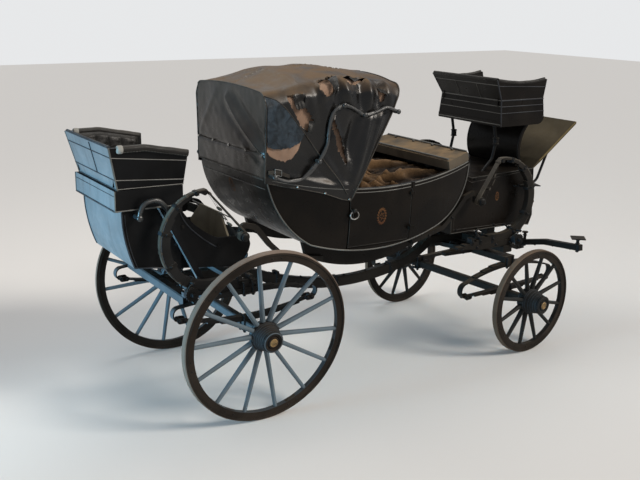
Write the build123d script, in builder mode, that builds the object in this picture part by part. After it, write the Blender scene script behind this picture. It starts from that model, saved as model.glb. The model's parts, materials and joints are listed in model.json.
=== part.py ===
"""Horse drawn carriage: a boat-bodied town carriage with a half hood, on C springs and a perch.

Millimetres, +Z up, +X forward, +Y to the carriage's left. The origin is on the ground
under the middle of the whole length. Sketches in side view use x forward of the rear axle
and z above the ground; the fore carriage has its own base plane, turned about the kingpin.
"""

from build123d import *
from math import asin, cos, degrees, hypot, radians, sin, tan
import os

os.makedirs("parts", exist_ok=True)

# Overall length, measured from the hind axle, and the origin midway along it
RUMBLE_TAIL = -886.0
FOOTBOARD_LOW = (2806.0, 1462.0)
FOOTBOARD_HIGH = (3196.0, 1752.0)
REAR_AXLE_X = -(RUMBLE_TAIL + FOOTBOARD_HIGH[0]) / 2

# Running gear
WHEELBASE = 2365.0
REAR_RADIUS = 600.0
FORE_RADIUS = 423.0
REAR_TRACK = 1506.0
FORE_TRACK = 1522.0
REAR_CAMBER = 5.0
FORE_CAMBER = 1.5
REAR_DISH = 42.0
FORE_DISH = 22.0
REAR_SPOKES = 14
FORE_SPOKES = 12
REAR_SPOKE_TURN = 22.0
FORE_SPOKE_TURN = 16.0
STEER = 5.0
TYRE_WIDTH = 42.0
TYRE_DEPTH = 20.0
FELLOE_DEPTH = 46.0
ARM_RADIUS = 25.0
RUNNING_FIT = 0.05

# Springs
SPRING_WIDTH = 48.0
LEAF = 9.0
SPRING_Y = 500.0
ELLIPTIC_Y = 520.0
C_RADIUS = 333.0
C_LEAF = 12.0
C_LEAVES = 5
PACK_LEAVES = 4
REAR_C = (-270.0, 1230.0)
FRONT_C = (2300.0, 1217.0)
BRACE = 7.0
LOOP_EYE = 24.0

# Body
WALL = 24.0
BODY_LOW = 930.0
BODY_HIGH = 1640.0
BODY_WIDEST = 1330.0
TURN_UNDER = 46.0
TOP_IN = 10.0
BODY_STATIONS = ((120, 496), (560, 566), (1040, 604), (1520, 586), (1950, 512))
RAIL = ((158, 1591), (1040, 1464), (1930, 1570))
BODY_CURVES = (
    ((158, 1591), (247, 1332), (490, 1090)),
    ((490, 1090), (1050, 1000), (1620, 1110)),
    ((1620, 1110), (1850, 1310), (1930, 1570)),
)
DOOR_REAR = 775.0
DOOR_FRONT = 1321.0
DOOR_SILL = 1034.0
DOOR_GAP = 5.0
DOOR_REAR_GAP = 8.5
HINGE_X = 1330.0
HINGE_Y = 613.0

BODY = Plane(origin=(REAR_AXLE_X, 0, 0), x_dir=(1, 0, 0), z_dir=(0, 0, 1))
KINGPIN_X = REAR_AXLE_X + WHEELBASE
FORE = Plane(
    origin=(KINGPIN_X, 0, 0),
    x_dir=(cos(radians(STEER)), sin(radians(STEER)), 0),
    z_dir=(0, 0, 1),
)
SIDES = {"right": -1, "left": 1}


def side(base, y):
    """Upright lengthwise plane at y: sketch x forward, y up, extrusion towards the right."""
    return Plane(origin=base.from_local_coords((0, y, 0)), x_dir=base.x_dir, z_dir=base.y_dir * -1)


def front(base, x):
    """Upright cross plane at x: sketch x to the left, y up, extrusion forward."""
    return Plane(origin=base.from_local_coords((x, 0, 0)), x_dir=base.y_dir, z_dir=base.x_dir)


def level(base, z):
    """Level plane at height z: sketch x forward, y to the left, extrusion upward."""
    return Plane(origin=base.from_local_coords((0, 0, z)), x_dir=base.x_dir, z_dir=base.z_dir)


def ring_sector(centre, inner, outer, start, end):
    """Flat band between two radii, from one angle to another, in degrees."""
    with BuildSketch() as band:
        with BuildLine():
            rim = CenterArc(centre, outer, start, end - start)
            bore = CenterArc(centre, inner, start, end - start)
            Line(rim @ 0, bore @ 0)
            Line(rim @ 1, bore @ 1)
        make_face()
    return band.sketch


def outline(*curves):
    """Closed face from straight runs (two points) and arcs (three points), head to tail."""
    with BuildSketch() as face:
        with BuildLine():
            for curve in curves:
                if len(curve) == 3:
                    ThreePointArc(*curve)
                else:
                    Line(*curve)
        make_face()
    return face.sketch


def swept_bar(plane, points, radius, width, depth):
    """Flat or square bar along a route of straight runs and fillets in one plane."""
    with BuildPart() as bar:
        with BuildLine(plane) as route:
            FilletPolyline(*points, radius=radius)
        start = Plane(origin=route.line @ 0, x_dir=plane.z_dir, z_dir=route.line % 0)
        with BuildSketch(start):
            Rectangle(width, depth)
        sweep(path=route.line)
    return bar.part


def swept_rod(plane, points, radius, rod_radius):
    """Round rod along a route of straight runs and fillets in one plane."""
    with BuildPart() as rod:
        with BuildLine(plane) as route:
            FilletPolyline(*points, radius=radius)
        start = Plane(origin=route.line @ 0, x_dir=plane.z_dir, z_dir=route.line % 0)
        with BuildSketch(start):
            Circle(rod_radius)
        sweep(path=route.line)
    return rod.part


def finish(piece, name):
    """Label a finished sub-part and write it to its own file."""
    piece.part.label = name
    export_step(piece.part, f"parts/{name}.step")


# Wheels: coned tread, dished spokes, turned nave with a capped nose


def hub_plane(base, sign, radius, track, camber):
    """Plane of a wheel's rim: its normal runs outward along the axle arm."""
    lean = radians(camber)
    centre = base.from_local_coords((0, sign * (track / 2 + radius * sin(lean)), radius * cos(lean)))
    outward = base.y_dir * (sign * cos(lean)) - base.z_dir * sin(lean)
    return Plane(origin=centre, x_dir=base.x_dir, z_dir=outward)


NOSE_RADIUS = 70.0
CAP_RADIUS = 40.0


def tyre_ring(radius, camber):
    """Tyre about the local Z axis, its tread coned so that it stands flat on the ground."""
    cone = TYRE_WIDTH / 2 * tan(radians(camber))
    seat = radius - TYRE_DEPTH
    half = TYRE_WIDTH / 2
    with BuildPart() as ring:
        with BuildSketch(Plane.XZ):
            with BuildLine():
                Polyline(
                    (seat, -half),
                    (radius + cone, -half),
                    (radius - cone * 0.7, half - 6),
                    (radius - cone - 5, half),
                    (seat, half),
                    close=True,
                )
            make_face()
        revolve(axis=Axis.Z)
    return ring.part


def spoked_wheel(radius, dish, spokes, turned, nave_back, nave_nose, arm_end):
    """Nave, spokes and felloes about the local Z axis, with Z outward."""
    felloe_out = radius - TYRE_DEPTH
    felloe_in = felloe_out - FELLOE_DEPTH
    belt = -dish
    bore = ARM_RADIUS + RUNNING_FIT
    with BuildPart() as wheel:
        with BuildSketch(Plane.XZ):
            with BuildLine():
                Polyline(
                    (0, arm_end),
                    (bore, arm_end),
                    (bore, nave_back),
                    (64, nave_back),
                    (70, nave_back + 8),
                    (70, nave_back + 18),
                    (88, belt - 40),
                    (98, belt - 30),
                    (98, belt + 30),
                    (92, belt + 40),
                    (NOSE_RADIUS + 2, nave_nose - 26),
                    (NOSE_RADIUS, nave_nose - 22),
                    (NOSE_RADIUS, nave_nose - 4),
                    (NOSE_RADIUS - 4, nave_nose),
                    (NOSE_RADIUS - 20, nave_nose),
                    (NOSE_RADIUS - 23, nave_nose - 9),
                    (CAP_RADIUS, nave_nose - 9),
                    (CAP_RADIUS - 4, nave_nose + 3),
                    (0, nave_nose + 3),
                    close=True,
                )
            make_face()
        revolve(axis=Axis.Z)
        with BuildSketch(Plane.XZ):
            with Locations(((felloe_in + felloe_out) / 2, 0)):
                Rectangle(FELLOE_DEPTH, TYRE_WIDTH - 6)
        revolve(axis=Axis.Z)
        lean = dish / (felloe_in - 84)
        foot = 80.0
        tip = felloe_in + 12
        for spoke in range(spokes):
            angle = turned + 360.0 * spoke / spokes
            for reach, tall, wide in ((foot, 46, 30), (foot + 90, 38, 27), (tip, 27, 25)):
                height = belt + (reach - 84) * lean
                across = Plane.XY.rotated((0, 0, angle))
                place = across.from_local_coords((reach, 0, height))
                with BuildSketch(Plane(origin=place, x_dir=(0, 0, 1), z_dir=across.x_dir)):
                    rim = Rectangle(tall, wide)
                    chamfer(rim.vertices(), wide * 0.3)
            loft(ruled=True)
    return wheel.part


def axle_solid(base, radius, track, camber, bed_height, bed_depth, nave_back, arm_end):
    """Squared axle bed across the carriage with a collar and a tapered-down arm each side."""
    with BuildPart() as axle:
        root = hub_plane(base, 1, radius, track, camber)
        shoulder = root.offset(nave_back - 10)
        bed_half = abs(base.to_local_coords(shoulder.origin).Y)
        bed_z = shoulder.origin.Z
        with BuildSketch(side(base, 0)):
            with Locations((0, bed_z)):
                bed = Rectangle(bed_depth, bed_height)
                chamfer(bed.vertices(), 7)
        extrude(amount=bed_half, both=True)
        for sign in SIDES.values():
            outer = hub_plane(base, sign, radius, track, camber)
            with BuildSketch(outer.offset(nave_back - 14)):
                Circle(44)
            extrude(amount=11)
            with BuildSketch(outer.offset(nave_back - 14)):
                Circle(ARM_RADIUS)
            extrude(amount=arm_end - 4 - nave_back + 14)
    return axle.part


REAR_NAVE = (-98.0, 88.0, 62.0)
FORE_NAVE = (-58.0, 132.0, 100.0)
rear_tyre_form = tyre_ring(REAR_RADIUS, REAR_CAMBER)
fore_tyre_form = tyre_ring(FORE_RADIUS, FORE_CAMBER)
rear_wheel_form = spoked_wheel(REAR_RADIUS, REAR_DISH, REAR_SPOKES, REAR_SPOKE_TURN, *REAR_NAVE)
fore_wheel_form = spoked_wheel(FORE_RADIUS, FORE_DISH, FORE_SPOKES, FORE_SPOKE_TURN, *FORE_NAVE)

for side_name, sign in SIDES.items():
    rear_rim = hub_plane(BODY, sign, REAR_RADIUS, REAR_TRACK, REAR_CAMBER)
    fore_rim = hub_plane(FORE, sign, FORE_RADIUS, FORE_TRACK, FORE_CAMBER)
    for end, rim, wheel_form, tyre_form in (
        ("rear", rear_rim, rear_wheel_form, rear_tyre_form),
        ("fore", fore_rim, fore_wheel_form, fore_tyre_form),
    ):
        with BuildPart() as wheel:
            with Locations(rim.location):
                add(wheel_form)
        finish(wheel, f"{end}_wheel_{side_name}")
        with BuildPart() as tyre:
            with Locations(rim.location):
                add(tyre_form)
        finish(tyre, f"{end}_tyre_{side_name}")

# Axles
AXLE_BED = 58.0


def bed_top(radius, camber, nave_back):
    """Height of an axle bed's top face, where the springs are clipped down."""
    lean = radians(camber)
    return radius * cos(lean) - (nave_back - 10) * sin(lean) + AXLE_BED / 2


rear_axle_form = axle_solid(
    BODY, REAR_RADIUS, REAR_TRACK, REAR_CAMBER, AXLE_BED, 56, REAR_NAVE[0], REAR_NAVE[2]
)
with BuildPart() as rear_axle:
    add(rear_axle_form)
finish(rear_axle, "rear_axle")

fore_axle_form = axle_solid(
    FORE, FORE_RADIUS, FORE_TRACK, FORE_CAMBER, AXLE_BED, 56, FORE_NAVE[0], FORE_NAVE[2]
)
with BuildPart() as fore_axle:
    add(fore_axle_form)
finish(fore_axle, "fore_axle")


# Elliptic springs: the upper pack's main leaf scrolls round to an eye, gripped by the lower pack's end
EYE_RADIUS = 14.0


def leaf_pack(middle, eye_x, eye_z, mid_z, stack):
    """Side view of one pack, its shorter leaves above (stack 1) or below (stack -1) the longest."""
    sag = abs(mid_z - eye_z)
    bend = (eye_x**2 + sag**2) / (2 * sag)
    crowned = mid_z > eye_z
    centre = (middle, mid_z - bend) if crowned else (middle, mid_z + bend)
    facing = 90.0 if crowned else 270.0
    outward = stack if crowned else -stack
    reach = degrees(asin(eye_x / bend))
    with BuildSketch() as pack:
        for leaf in range(PACK_LEAVES):
            swing = reach * (1 - 0.2 * leaf)
            edges = sorted((bend + outward * LEAF * leaf, bend + outward * LEAF * (leaf + 1)))
            add(ring_sector(centre, *edges, facing - swing, facing + swing))
    return pack.sketch


def scroll_ends(middle, eye_x, low_z, high_z):
    """Side view of the scrolls that carry the upper main leaf round to the lower eyes."""
    bow = (high_z - low_z) / 2
    with BuildSketch() as scrolls:
        for end in (-1, 1):
            centre = (middle + end * eye_x, (low_z + high_z) / 2)
            start = 90 if end < 0 else -90
            add(ring_sector(centre, bow - LEAF, bow, start, start + 180))
            with Locations((centre[0], low_z + EYE_RADIUS / 2)):
                Circle(EYE_RADIUS)
    return scrolls.sketch


def eye_room(middle, eye_x, low_z, high_z):
    """Side view of the space that each scroll takes from the lower pack."""
    with BuildSketch() as room:
        for end in (-1, 1):
            with Locations((middle + end * eye_x, low_z + EYE_RADIUS / 2)):
                Circle(EYE_RADIUS + 2)
            with Locations((middle + end * (eye_x + 50), (low_z + high_z) / 2)):
                Rectangle(100, high_z - low_z + 60)
    return room.sketch


def spring_pair(base, profile):
    """The same side view on both sides of the carriage, as two separate solids."""
    with BuildPart() as pair:
        for sign in SIDES.values():
            with BuildSketch(side(base, sign * ELLIPTIC_Y)):
                add(profile)
            extrude(amount=SPRING_WIDTH / 2, both=True)
    return pair.part


def shackle_set(base, middle, eye_x, low_z):
    """Cheek plates that hold the lower pack's ends to the eyes, one each side of each eye."""
    with BuildPart() as plates:
        for sign in SIDES.values():
            for offset in (-SPRING_WIDTH / 2 - 8, SPRING_WIDTH / 2):
                with BuildSketch(side(base, sign * ELLIPTIC_Y + offset + 8)):
                    with Locations(
                        (middle - eye_x + 16, low_z + EYE_RADIUS / 2),
                        (middle + eye_x - 16, low_z + EYE_RADIUS / 2),
                    ):
                        SlotOverall(74, 36)
                extrude(amount=8)
    return plates.part


REAR_EYES = (0.0, 500.0, 714.0, 814.0)
FORE_EYES = (-20.0, 478.0, 476.0, 600.0)
PACK = PACK_LEAVES * LEAF
REAR_MIDS = (bed_top(REAR_RADIUS, REAR_CAMBER, REAR_NAVE[0]) + PACK, 830.0)
FORE_MIDS = (bed_top(FORE_RADIUS, FORE_CAMBER, FORE_NAVE[0]) + PACK, 662.0)
for end, base, eyes, mids in (
    ("rear", BODY, REAR_EYES, REAR_MIDS),
    ("fore", FORE, FORE_EYES, FORE_MIDS),
):
    middle, eye_x, low_z, high_z = eyes
    with BuildSketch() as lower_view:
        add(leaf_pack(middle, eye_x, low_z + EYE_RADIUS, mids[0], -1))
        add(eye_room(*eyes), mode=Mode.SUBTRACT)
    with BuildSketch() as upper_view:
        add(leaf_pack(middle, eye_x, high_z - LEAF, mids[1], 1))
        add(scroll_ends(*eyes))
    lower_form = spring_pair(base, lower_view.sketch)
    upper_form = spring_pair(base, upper_view.sketch)
    shackle_form = shackle_set(base, middle, eye_x, low_z)
    with BuildPart() as lower_springs:
        add(lower_form)
    finish(lower_springs, f"{end}_springs_lower")
    with BuildPart() as upper_springs:
        add(upper_form)
    finish(upper_springs, f"{end}_springs_upper")
    with BuildPart() as shackles:
        add(shackle_form)
    finish(shackles, f"{end}_spring_shackles")

# Hind carriage: side irons on the springs, cross beams and the perch
REAR_IRON_LOW = REAR_MIDS[1] + PACK
REAR_IRON_HIGH = REAR_C[1] - C_RADIUS
with BuildPart() as hind_side_irons:
    for sign in SIDES.values():
        with BuildSketch(side(BODY, sign * SPRING_Y)):
            add(
                outline(
                    ((-455, REAR_IRON_LOW), (90, REAR_IRON_LOW)),
                    ((90, REAR_IRON_LOW), (112, REAR_IRON_LOW + 14), (90, REAR_IRON_HIGH)),
                    ((90, REAR_IRON_HIGH), (-455, REAR_IRON_HIGH)),
                    ((-455, REAR_IRON_HIGH), (-455, REAR_IRON_LOW)),
                )
            )
        extrude(amount=25, both=True)
finish(hind_side_irons, "hind_side_irons")

PERCH_HALF = 32.0
with BuildPart() as hind_beams:
    with BuildSketch(side(BODY, 0)):
        with Locations((-420, REAR_IRON_LOW - 33)):
            hind_bar = Rectangle(70, 66)
            chamfer(hind_bar.vertices(), 8)
    extrude(amount=ELLIPTIC_Y - SPRING_WIDTH / 2 - 2, both=True)
    with BuildSketch(side(BODY, 0)):
        with Locations((0, REAR_IRON_LOW + 15)):
            Rectangle(64, 30)
    extrude(amount=475, both=True)
finish(hind_beams, "hind_beams")

with BuildPart() as perch:
    with BuildSketch(side(BODY, 0)):
        add(
            outline(
                ((-385, 800), (40, 796)),
                ((40, 796), (240, 762), (430, 690)),
                ((430, 690), (1210, 562), (1700, 628)),
                ((1700, 628), (1850, 690), (1990, 782)),
                ((1990, 782), (2320, 782)),
                ((2320, 782), (2320, 838)),
                ((2320, 838), (1960, 846)),
                ((1960, 846), (1810, 745), (1660, 690)),
                ((1660, 690), (1210, 634), (470, 757)),
                ((470, 757), (270, 828), (60, REAR_IRON_LOW)),
                ((60, REAR_IRON_LOW), (-385, REAR_IRON_LOW)),
                ((-385, REAR_IRON_LOW), (-385, 800)),
            )
        )
    extrude(amount=PERCH_HALF, both=True)
finish(perch, "perch")


# C springs, with the longest leaf outside, and the leather braces that run round them


def c_spring(centre, back, top_end, foot):
    """Side view of a C spring: back is +1 where its bow faces forward, -1 where rearward."""
    with BuildSketch() as spring:
        for leaf in range(C_LEAVES):
            outer = C_RADIUS - leaf * C_LEAF
            inner = outer - C_LEAF
            rise = top_end - 17.0 * leaf
            if back > 0:
                add(ring_sector(centre, inner, outer, -90, rise))
            else:
                add(ring_sector(centre, inner, outer, 180 - rise, 270))
            length = foot - 60.0 * leaf
            with Locations((centre[0] - back * length / 2, centre[1] - (inner + outer) / 2)):
                Rectangle(length, C_LEAF)
    return spring.sketch


def brace_strap(centre, back, top_end, jack, bolt):
    """Side view of a brace: round the C spring's back, over its tip and down to the loop bolt."""
    outer = C_RADIUS + BRACE
    tip = radians(top_end if back > 0 else 180 - top_end)
    over = (centre[0] + outer * cos(tip), centre[1] + outer * sin(tip))
    run = hypot(bolt[0] - over[0], bolt[1] - over[1])
    along = ((bolt[0] - over[0]) / run, (bolt[1] - over[1]) / run)
    across = (-along[1] * back * -1, along[0] * back * -1)
    inner = LOOP_EYE + 0.3
    edge = inner + 10
    with BuildSketch() as strap:
        if back > 0:
            add(ring_sector(centre, C_RADIUS, outer, jack, top_end))
        else:
            add(ring_sector(centre, C_RADIUS, outer, 180 - top_end, 180 - jack))
        with Locations(bolt):
            Circle(edge)
            Circle(inner, mode=Mode.SUBTRACT)
        with BuildLine():
            Polyline(
                over,
                (bolt[0] + across[0] * edge, bolt[1] + across[1] * edge),
                (bolt[0] + across[0] * inner, bolt[1] + across[1] * inner),
                (centre[0] + C_RADIUS * cos(tip), centre[1] + C_RADIUS * sin(tip)),
                close=True,
            )
        make_face()
    return strap.sketch


REAR_BOLT = (-12.0, 1217.0)
FRONT_BOLT = (2071.0, 1228.0)
REAR_TIP = 86.0
FRONT_TIP = 95.0
rear_c_profile = c_spring(REAR_C, -1, REAR_TIP, 350)
front_c_profile = c_spring(FRONT_C, 1, FRONT_TIP, 380)
rear_strap = brace_strap(REAR_C, -1, REAR_TIP + 2, -62, REAR_BOLT)
front_strap = brace_strap(FRONT_C, 1, FRONT_TIP + 2, -62, FRONT_BOLT)
BRACE_WIDTH = 42.0
for name, profile, width in (
    ("rear_c_springs", rear_c_profile, SPRING_WIDTH),
    ("front_c_springs", front_c_profile, SPRING_WIDTH),
    ("rear_braces", rear_strap, BRACE_WIDTH),
    ("front_braces", front_strap, BRACE_WIDTH),
):
    with BuildPart() as pair:
        for sign in SIDES.values():
            with BuildSketch(side(BODY, sign * SPRING_Y)):
                add(profile)
            extrude(amount=width / 2, both=True)
    finish(pair, name)

with BuildPart() as brace_jacks:
    for sign in SIDES.values():
        for centre, back in ((REAR_C, -1), (FRONT_C, 1)):
            drum = (centre[0] + back * 150, centre[1] - C_RADIUS - 2)
            with BuildSketch(side(BODY, sign * (SPRING_Y + 25))):
                with Locations(drum):
                    Circle(42)
            extrude(amount=-sign * 44)
            with BuildSketch(side(BODY, sign * (SPRING_Y + 69))):
                with Locations(drum):
                    Circle(16)
            extrude(amount=-sign * 14)
finish(brace_jacks, "brace_jacks")

# Body loops: forged arms from under the body up to the brace bolts
REAR_LOOP_ROUTE = (REAR_BOLT, (6, 1286), (104, 1256), (208, 1127), (330, 1010), (640, 962))
FRONT_LOOP_ROUTE = (FRONT_BOLT, (2050, 1296), (1950, 1264), (1845, 1150), (1731, 1050), (1440, 978))
loop_arms = []
for sign in SIDES.values():
    for route in (REAR_LOOP_ROUTE, FRONT_LOOP_ROUTE):
        loop_arms.append(swept_bar(side(BODY, sign * (SPRING_Y - 42)), route, 26, 34, 36))
with BuildPart() as body_loops:
    for arm in loop_arms:
        add(arm)
    for sign in SIDES.values():
        for bolt in (REAR_BOLT, FRONT_BOLT):
            with BuildSketch(side(BODY, sign * (SPRING_Y - 59))):
                with Locations(bolt):
                    Circle(LOOP_EYE)
            extrude(amount=-sign * 86)
finish(body_loops, "body_loops")


# Body


def body_form(inset):
    """Solid between the body's curved sides, set in by a wall's thickness."""
    with BuildPart() as form:
        for station, half in BODY_STATIONS:
            low = half - TURN_UNDER - inset
            high = half - TOP_IN - inset
            widest = half - inset
            with BuildSketch(front(BODY, station)):
                add(
                    outline(
                        ((-low, BODY_LOW), (low, BODY_LOW)),
                        ((low, BODY_LOW), (widest, BODY_WIDEST), (high, BODY_HIGH)),
                        ((high, BODY_HIGH), (-high, BODY_HIGH)),
                        ((-high, BODY_HIGH), (-widest, BODY_WIDEST), (-low, BODY_LOW)),
                    )
                )
        loft()
    return form.part


body_face = outline(*BODY_CURVES, RAIL[::-1])
with BuildSketch() as cavity_sketch:
    add(body_face)
    offset(amount=-WALL, kind=Kind.INTERSECTION, mode=Mode.REPLACE)
    with Locations((1050, 1540)):
        Rectangle(1640, 220)
cavity_face = cavity_sketch.sketch
outer_form = body_form(0)
inner_form = body_form(WALL)
with BuildPart() as cavity:
    add(inner_form)
    with BuildSketch(side(BODY, 0)):
        add(cavity_face)
    extrude(amount=700, both=True, mode=Mode.INTERSECT)
cabin_space = cavity.part

DOOR_TALL = 500.0
floor_room = body_form(WALL + DOOR_GAP)
with BuildPart() as doorway:
    with BuildSketch(side(BODY, 0)):
        with Locations(((DOOR_REAR + DOOR_FRONT) / 2, DOOR_SILL + DOOR_TALL / 2)):
            Rectangle(DOOR_FRONT - DOOR_REAR, DOOR_TALL)
    extrude(amount=700, both=True)
    add(floor_room, mode=Mode.SUBTRACT)
doorways = doorway.part

with BuildPart() as body_shell:
    add(outer_form)
    with BuildSketch(side(BODY, 0)):
        add(body_face)
    extrude(amount=700, both=True, mode=Mode.INTERSECT)
    add(cabin_space, mode=Mode.SUBTRACT)
    add(doorways, mode=Mode.SUBTRACT)
finish(body_shell, "body_shell")

for side_name, sign in SIDES.items():
    with BuildPart() as door:
        add(outer_form)
        with BuildSketch(side(BODY, 0)):
            add(body_face)
        extrude(amount=700, both=True, mode=Mode.INTERSECT)
        add(inner_form, mode=Mode.SUBTRACT)
        with BuildSketch(side(BODY, 0)):
            with BuildLine():
                Polyline(
                    (DOOR_REAR + DOOR_REAR_GAP, DOOR_SILL + DOOR_GAP),
                    (DOOR_FRONT - DOOR_GAP, DOOR_SILL + DOOR_GAP),
                    (DOOR_FRONT - DOOR_GAP, DOOR_SILL + DOOR_TALL),
                    (DOOR_REAR + DOOR_REAR_GAP, DOOR_SILL + DOOR_TALL),
                    close=True,
                )
            make_face()
        extrude(amount=-sign * 700, mode=Mode.INTERSECT)
        for height in (DOOR_SILL + 90, DOOR_SILL + 350):
            with BuildSketch(level(BODY, height)):
                with Locations((HINGE_X, sign * HINGE_Y)):
                    Circle(8)
                with Locations((HINGE_X - 17, sign * (HINGE_Y + 1))):
                    Rectangle(34, 11)
                with Locations((HINGE_X - 25, sign * (HINGE_Y - 18))):
                    Rectangle(18, 44)
            extrude(amount=22)
        handle_x = DOOR_REAR + 32
        with BuildSketch(side(BODY, sign * 570)):
            with Locations((handle_x, DOOR_SILL + 288)):
                Circle(9)
        extrude(amount=-sign * 52)
        with BuildSketch(side(BODY, sign * 616)):
            with Locations((handle_x, DOOR_SILL + 262)):
                Ellipse(22, 30)
                Ellipse(14, 22, mode=Mode.SUBTRACT)
        extrude(amount=-sign * 7)
    finish(door, f"door_{side_name}")

with BuildPart() as rockers:
    for sign in SIDES.values():
        with BuildSketch(side(BODY, sign * 421)):
            add(
                outline(
                    *BODY_CURVES[1:2],
                    ((1620, 1110), (1560, 1000)),
                    ((1560, 1000), (960, 866), (520, 980)),
                    ((520, 980), (490, 1090)),
                )
            )
        extrude(amount=20, both=True)
finish(rockers, "rockers")

SEAT_TOP = 1330.0
CUSHION_DEPTH = 89.0
CUSHION_MID = SEAT_TOP + 45
CUSHION_TOP = CUSHION_MID + CUSHION_DEPTH / 2
with BuildPart() as seat_boxes:
    add(cabin_space)
    with BuildSketch(side(BODY, 0)):
        with Locations((350, 1165)):
            Rectangle(560, 2 * (SEAT_TOP - 1165))
        with Locations((1770, 1165)):
            Rectangle(400, 2 * (SEAT_TOP - 1165))
    extrude(amount=700, both=True, mode=Mode.INTERSECT)
finish(seat_boxes, "seat_boxes")

seat_room = body_form(WALL + 16)
with BuildPart() as seat_cushions:
    add(seat_room)
    with BuildSketch(side(BODY, 0)):
        with Locations((450, CUSHION_MID)):
            RectangleRounded(340, CUSHION_DEPTH, 30)
        with Locations((1700, CUSHION_MID)):
            RectangleRounded(250, CUSHION_DEPTH, 30)
    extrude(amount=700, both=True, mode=Mode.INTERSECT)
finish(seat_cushions, "seat_cushions")

COVER_LOW = CUSHION_TOP + 0.3
with BuildPart() as crumpled_cover:
    add(seat_room)
    with BuildSketch(side(BODY, 0)):
        with BuildLine():
            Polyline(
                (500, COVER_LOW), (630, COVER_LOW), (700, 1404), (800, 1372), (900, 1386), (1010, 1352), (1120, 1374),
                (1230, 1350), (1330, 1378), (1440, 1362), (1540, 1400), (1590, COVER_LOW), (1812, COVER_LOW),
                (1812, 1474), (1760, 1490), (1700, 1474), (1640, 1488), (1560, 1450), (1480, 1472), (1400, 1420),
                (1310, 1446), (1220, 1404), (1120, 1438), (1020, 1404), (930, 1446), (840, 1426), (760, 1448),
                (690, 1440), (610, 1450), (500, 1432), close=True,
            )
        make_face()
    extrude(amount=700, both=True, mode=Mode.INTERSECT)
finish(crumpled_cover, "crumpled_cover")

with BuildPart() as front_board:
    add(outer_form)
    with BuildSketch(side(BODY, 0)):
        with BuildLine():
            Polyline((1700, 1500), (1890, 1500), (1922, 1580), (1908, 1632), (1688, 1584), close=True)
        make_face()
        add(body_face, mode=Mode.SUBTRACT)
    extrude(amount=700, both=True, mode=Mode.INTERSECT)
finish(front_board, "front_board")

# Half hood: leather on bows, open to the front, its edge standing on the body's rail
HOOD_STATIONS = (
    (150, 500, 530, 2130, 2178),
    (430, 540, 534, 2185, 2275),
    (780, 577, 530, 2205, 2292),
    (1250, 592, 515, 2150, 2222),
)
HOOD_FOOT = 1440.0
HOOD_SKIN = 12.0


def hood_form(inset, first_x):
    """Solid under the hood's outer surface, set in by the leather's thickness."""
    with BuildPart() as form:
        for station, foot, eave, eave_z, crown in HOOD_STATIONS:
            place = max(station, first_x)
            low = foot - inset
            shoulder = eave - inset
            top = crown - inset
            turn = eave_z - inset
            with BuildSketch(front(BODY, place)):
                add(
                    outline(
                        ((-low, HOOD_FOOT), (low, HOOD_FOOT)),
                        ((low, HOOD_FOOT), (shoulder, turn - 70)),
                        ((shoulder, turn - 70), (shoulder - 22, turn - 8), (shoulder - 90, turn + 26)),
                        ((shoulder - 90, turn + 26), (0, top), (90 - shoulder, turn + 26)),
                        ((90 - shoulder, turn + 26), (22 - shoulder, turn - 8), (-shoulder, turn - 70)),
                        ((-shoulder, turn - 70), (-low, HOOD_FOOT)),
                    )
                )
        loft(ruled=True)
    return form.part


hood_outer = hood_form(0, 0)
hood_inner = hood_form(HOOD_SKIN, 150 + HOOD_SKIN)
HOOD_FRONT_HEEL = (775, 1496)
HOOD_FRONT_LOW = (850, 1496)
HOOD_FRONT_HIGH = (1222, 2052)
with BuildPart() as hood:
    add(hood_outer)
    add(hood_inner, mode=Mode.SUBTRACT)
    with BuildSketch(side(BODY, 0)):
        add(
            outline(
                RAIL,
                (RAIL[2], (1930, 1300)),
                ((1930, 1300), (100, 1300)),
                ((100, 1300), (100, 1595)),
                ((100, 1595), RAIL[0]),
            )
        )
        with BuildLine():
            Polyline(
                (HOOD_FRONT_HEEL[0], 1420),
                HOOD_FRONT_HEEL,
                HOOD_FRONT_LOW,
                HOOD_FRONT_HIGH,
                (1240, 2120),
                (1240, 2400),
                (1400, 2400),
                (1400, 1420),
                close=True,
            )
        make_face()
    extrude(amount=700, both=True, mode=Mode.SUBTRACT)
finish(hood, "hood")

# Hood irons: the jointed stays on each side, in a plane that leans with the hood
IRON_ROUTE = (
    (186, 1608), (282, 1574), (400, 1580), (533, 1686), (602, 1793), (622, 1920), (662, 2014),
    (740, 2052), (817, 2028), (912, 1977), (1019, 1994), (1105, 2018), (1196, 1984),
)
IRON_LEAN = 3.0
IRON_Y = 580.0
IRON_STUDS = (0, 3, 7, 9, 12)
iron_rods = []
for sign in SIDES.values():
    lean = radians(IRON_LEAN)
    slanted = Plane(
        origin=(REAR_AXLE_X, sign * IRON_Y, 1500),
        x_dir=(1, 0, 0),
        z_dir=(0, -cos(lean), -sign * sin(lean)),
    )
    routed = [(x, (z - 1500) / cos(lean)) for x, z in IRON_ROUTE]
    iron_rods.append(swept_rod(slanted, routed, 22, 9))
with BuildPart() as hood_irons:
    for rod in iron_rods:
        add(rod)
    for sign in SIDES.values():
        for knuckle in IRON_STUDS:
            joint_x, joint_z = IRON_ROUTE[knuckle]
            outer = IRON_Y - (joint_z - 1500) * tan(radians(IRON_LEAN)) + 14
            with BuildSketch(side(BODY, sign * outer)):
                with Locations((joint_x, joint_z)):
                    Circle(15)
            extrude(amount=sign * (outer - 470))
    add(hood.part, mode=Mode.SUBTRACT)
    add(hood_inner, mode=Mode.SUBTRACT)
    add(body_shell.part, mode=Mode.SUBTRACT)
    add(cabin_space, mode=Mode.SUBTRACT)
finish(hood_irons, "hood_irons")

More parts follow.
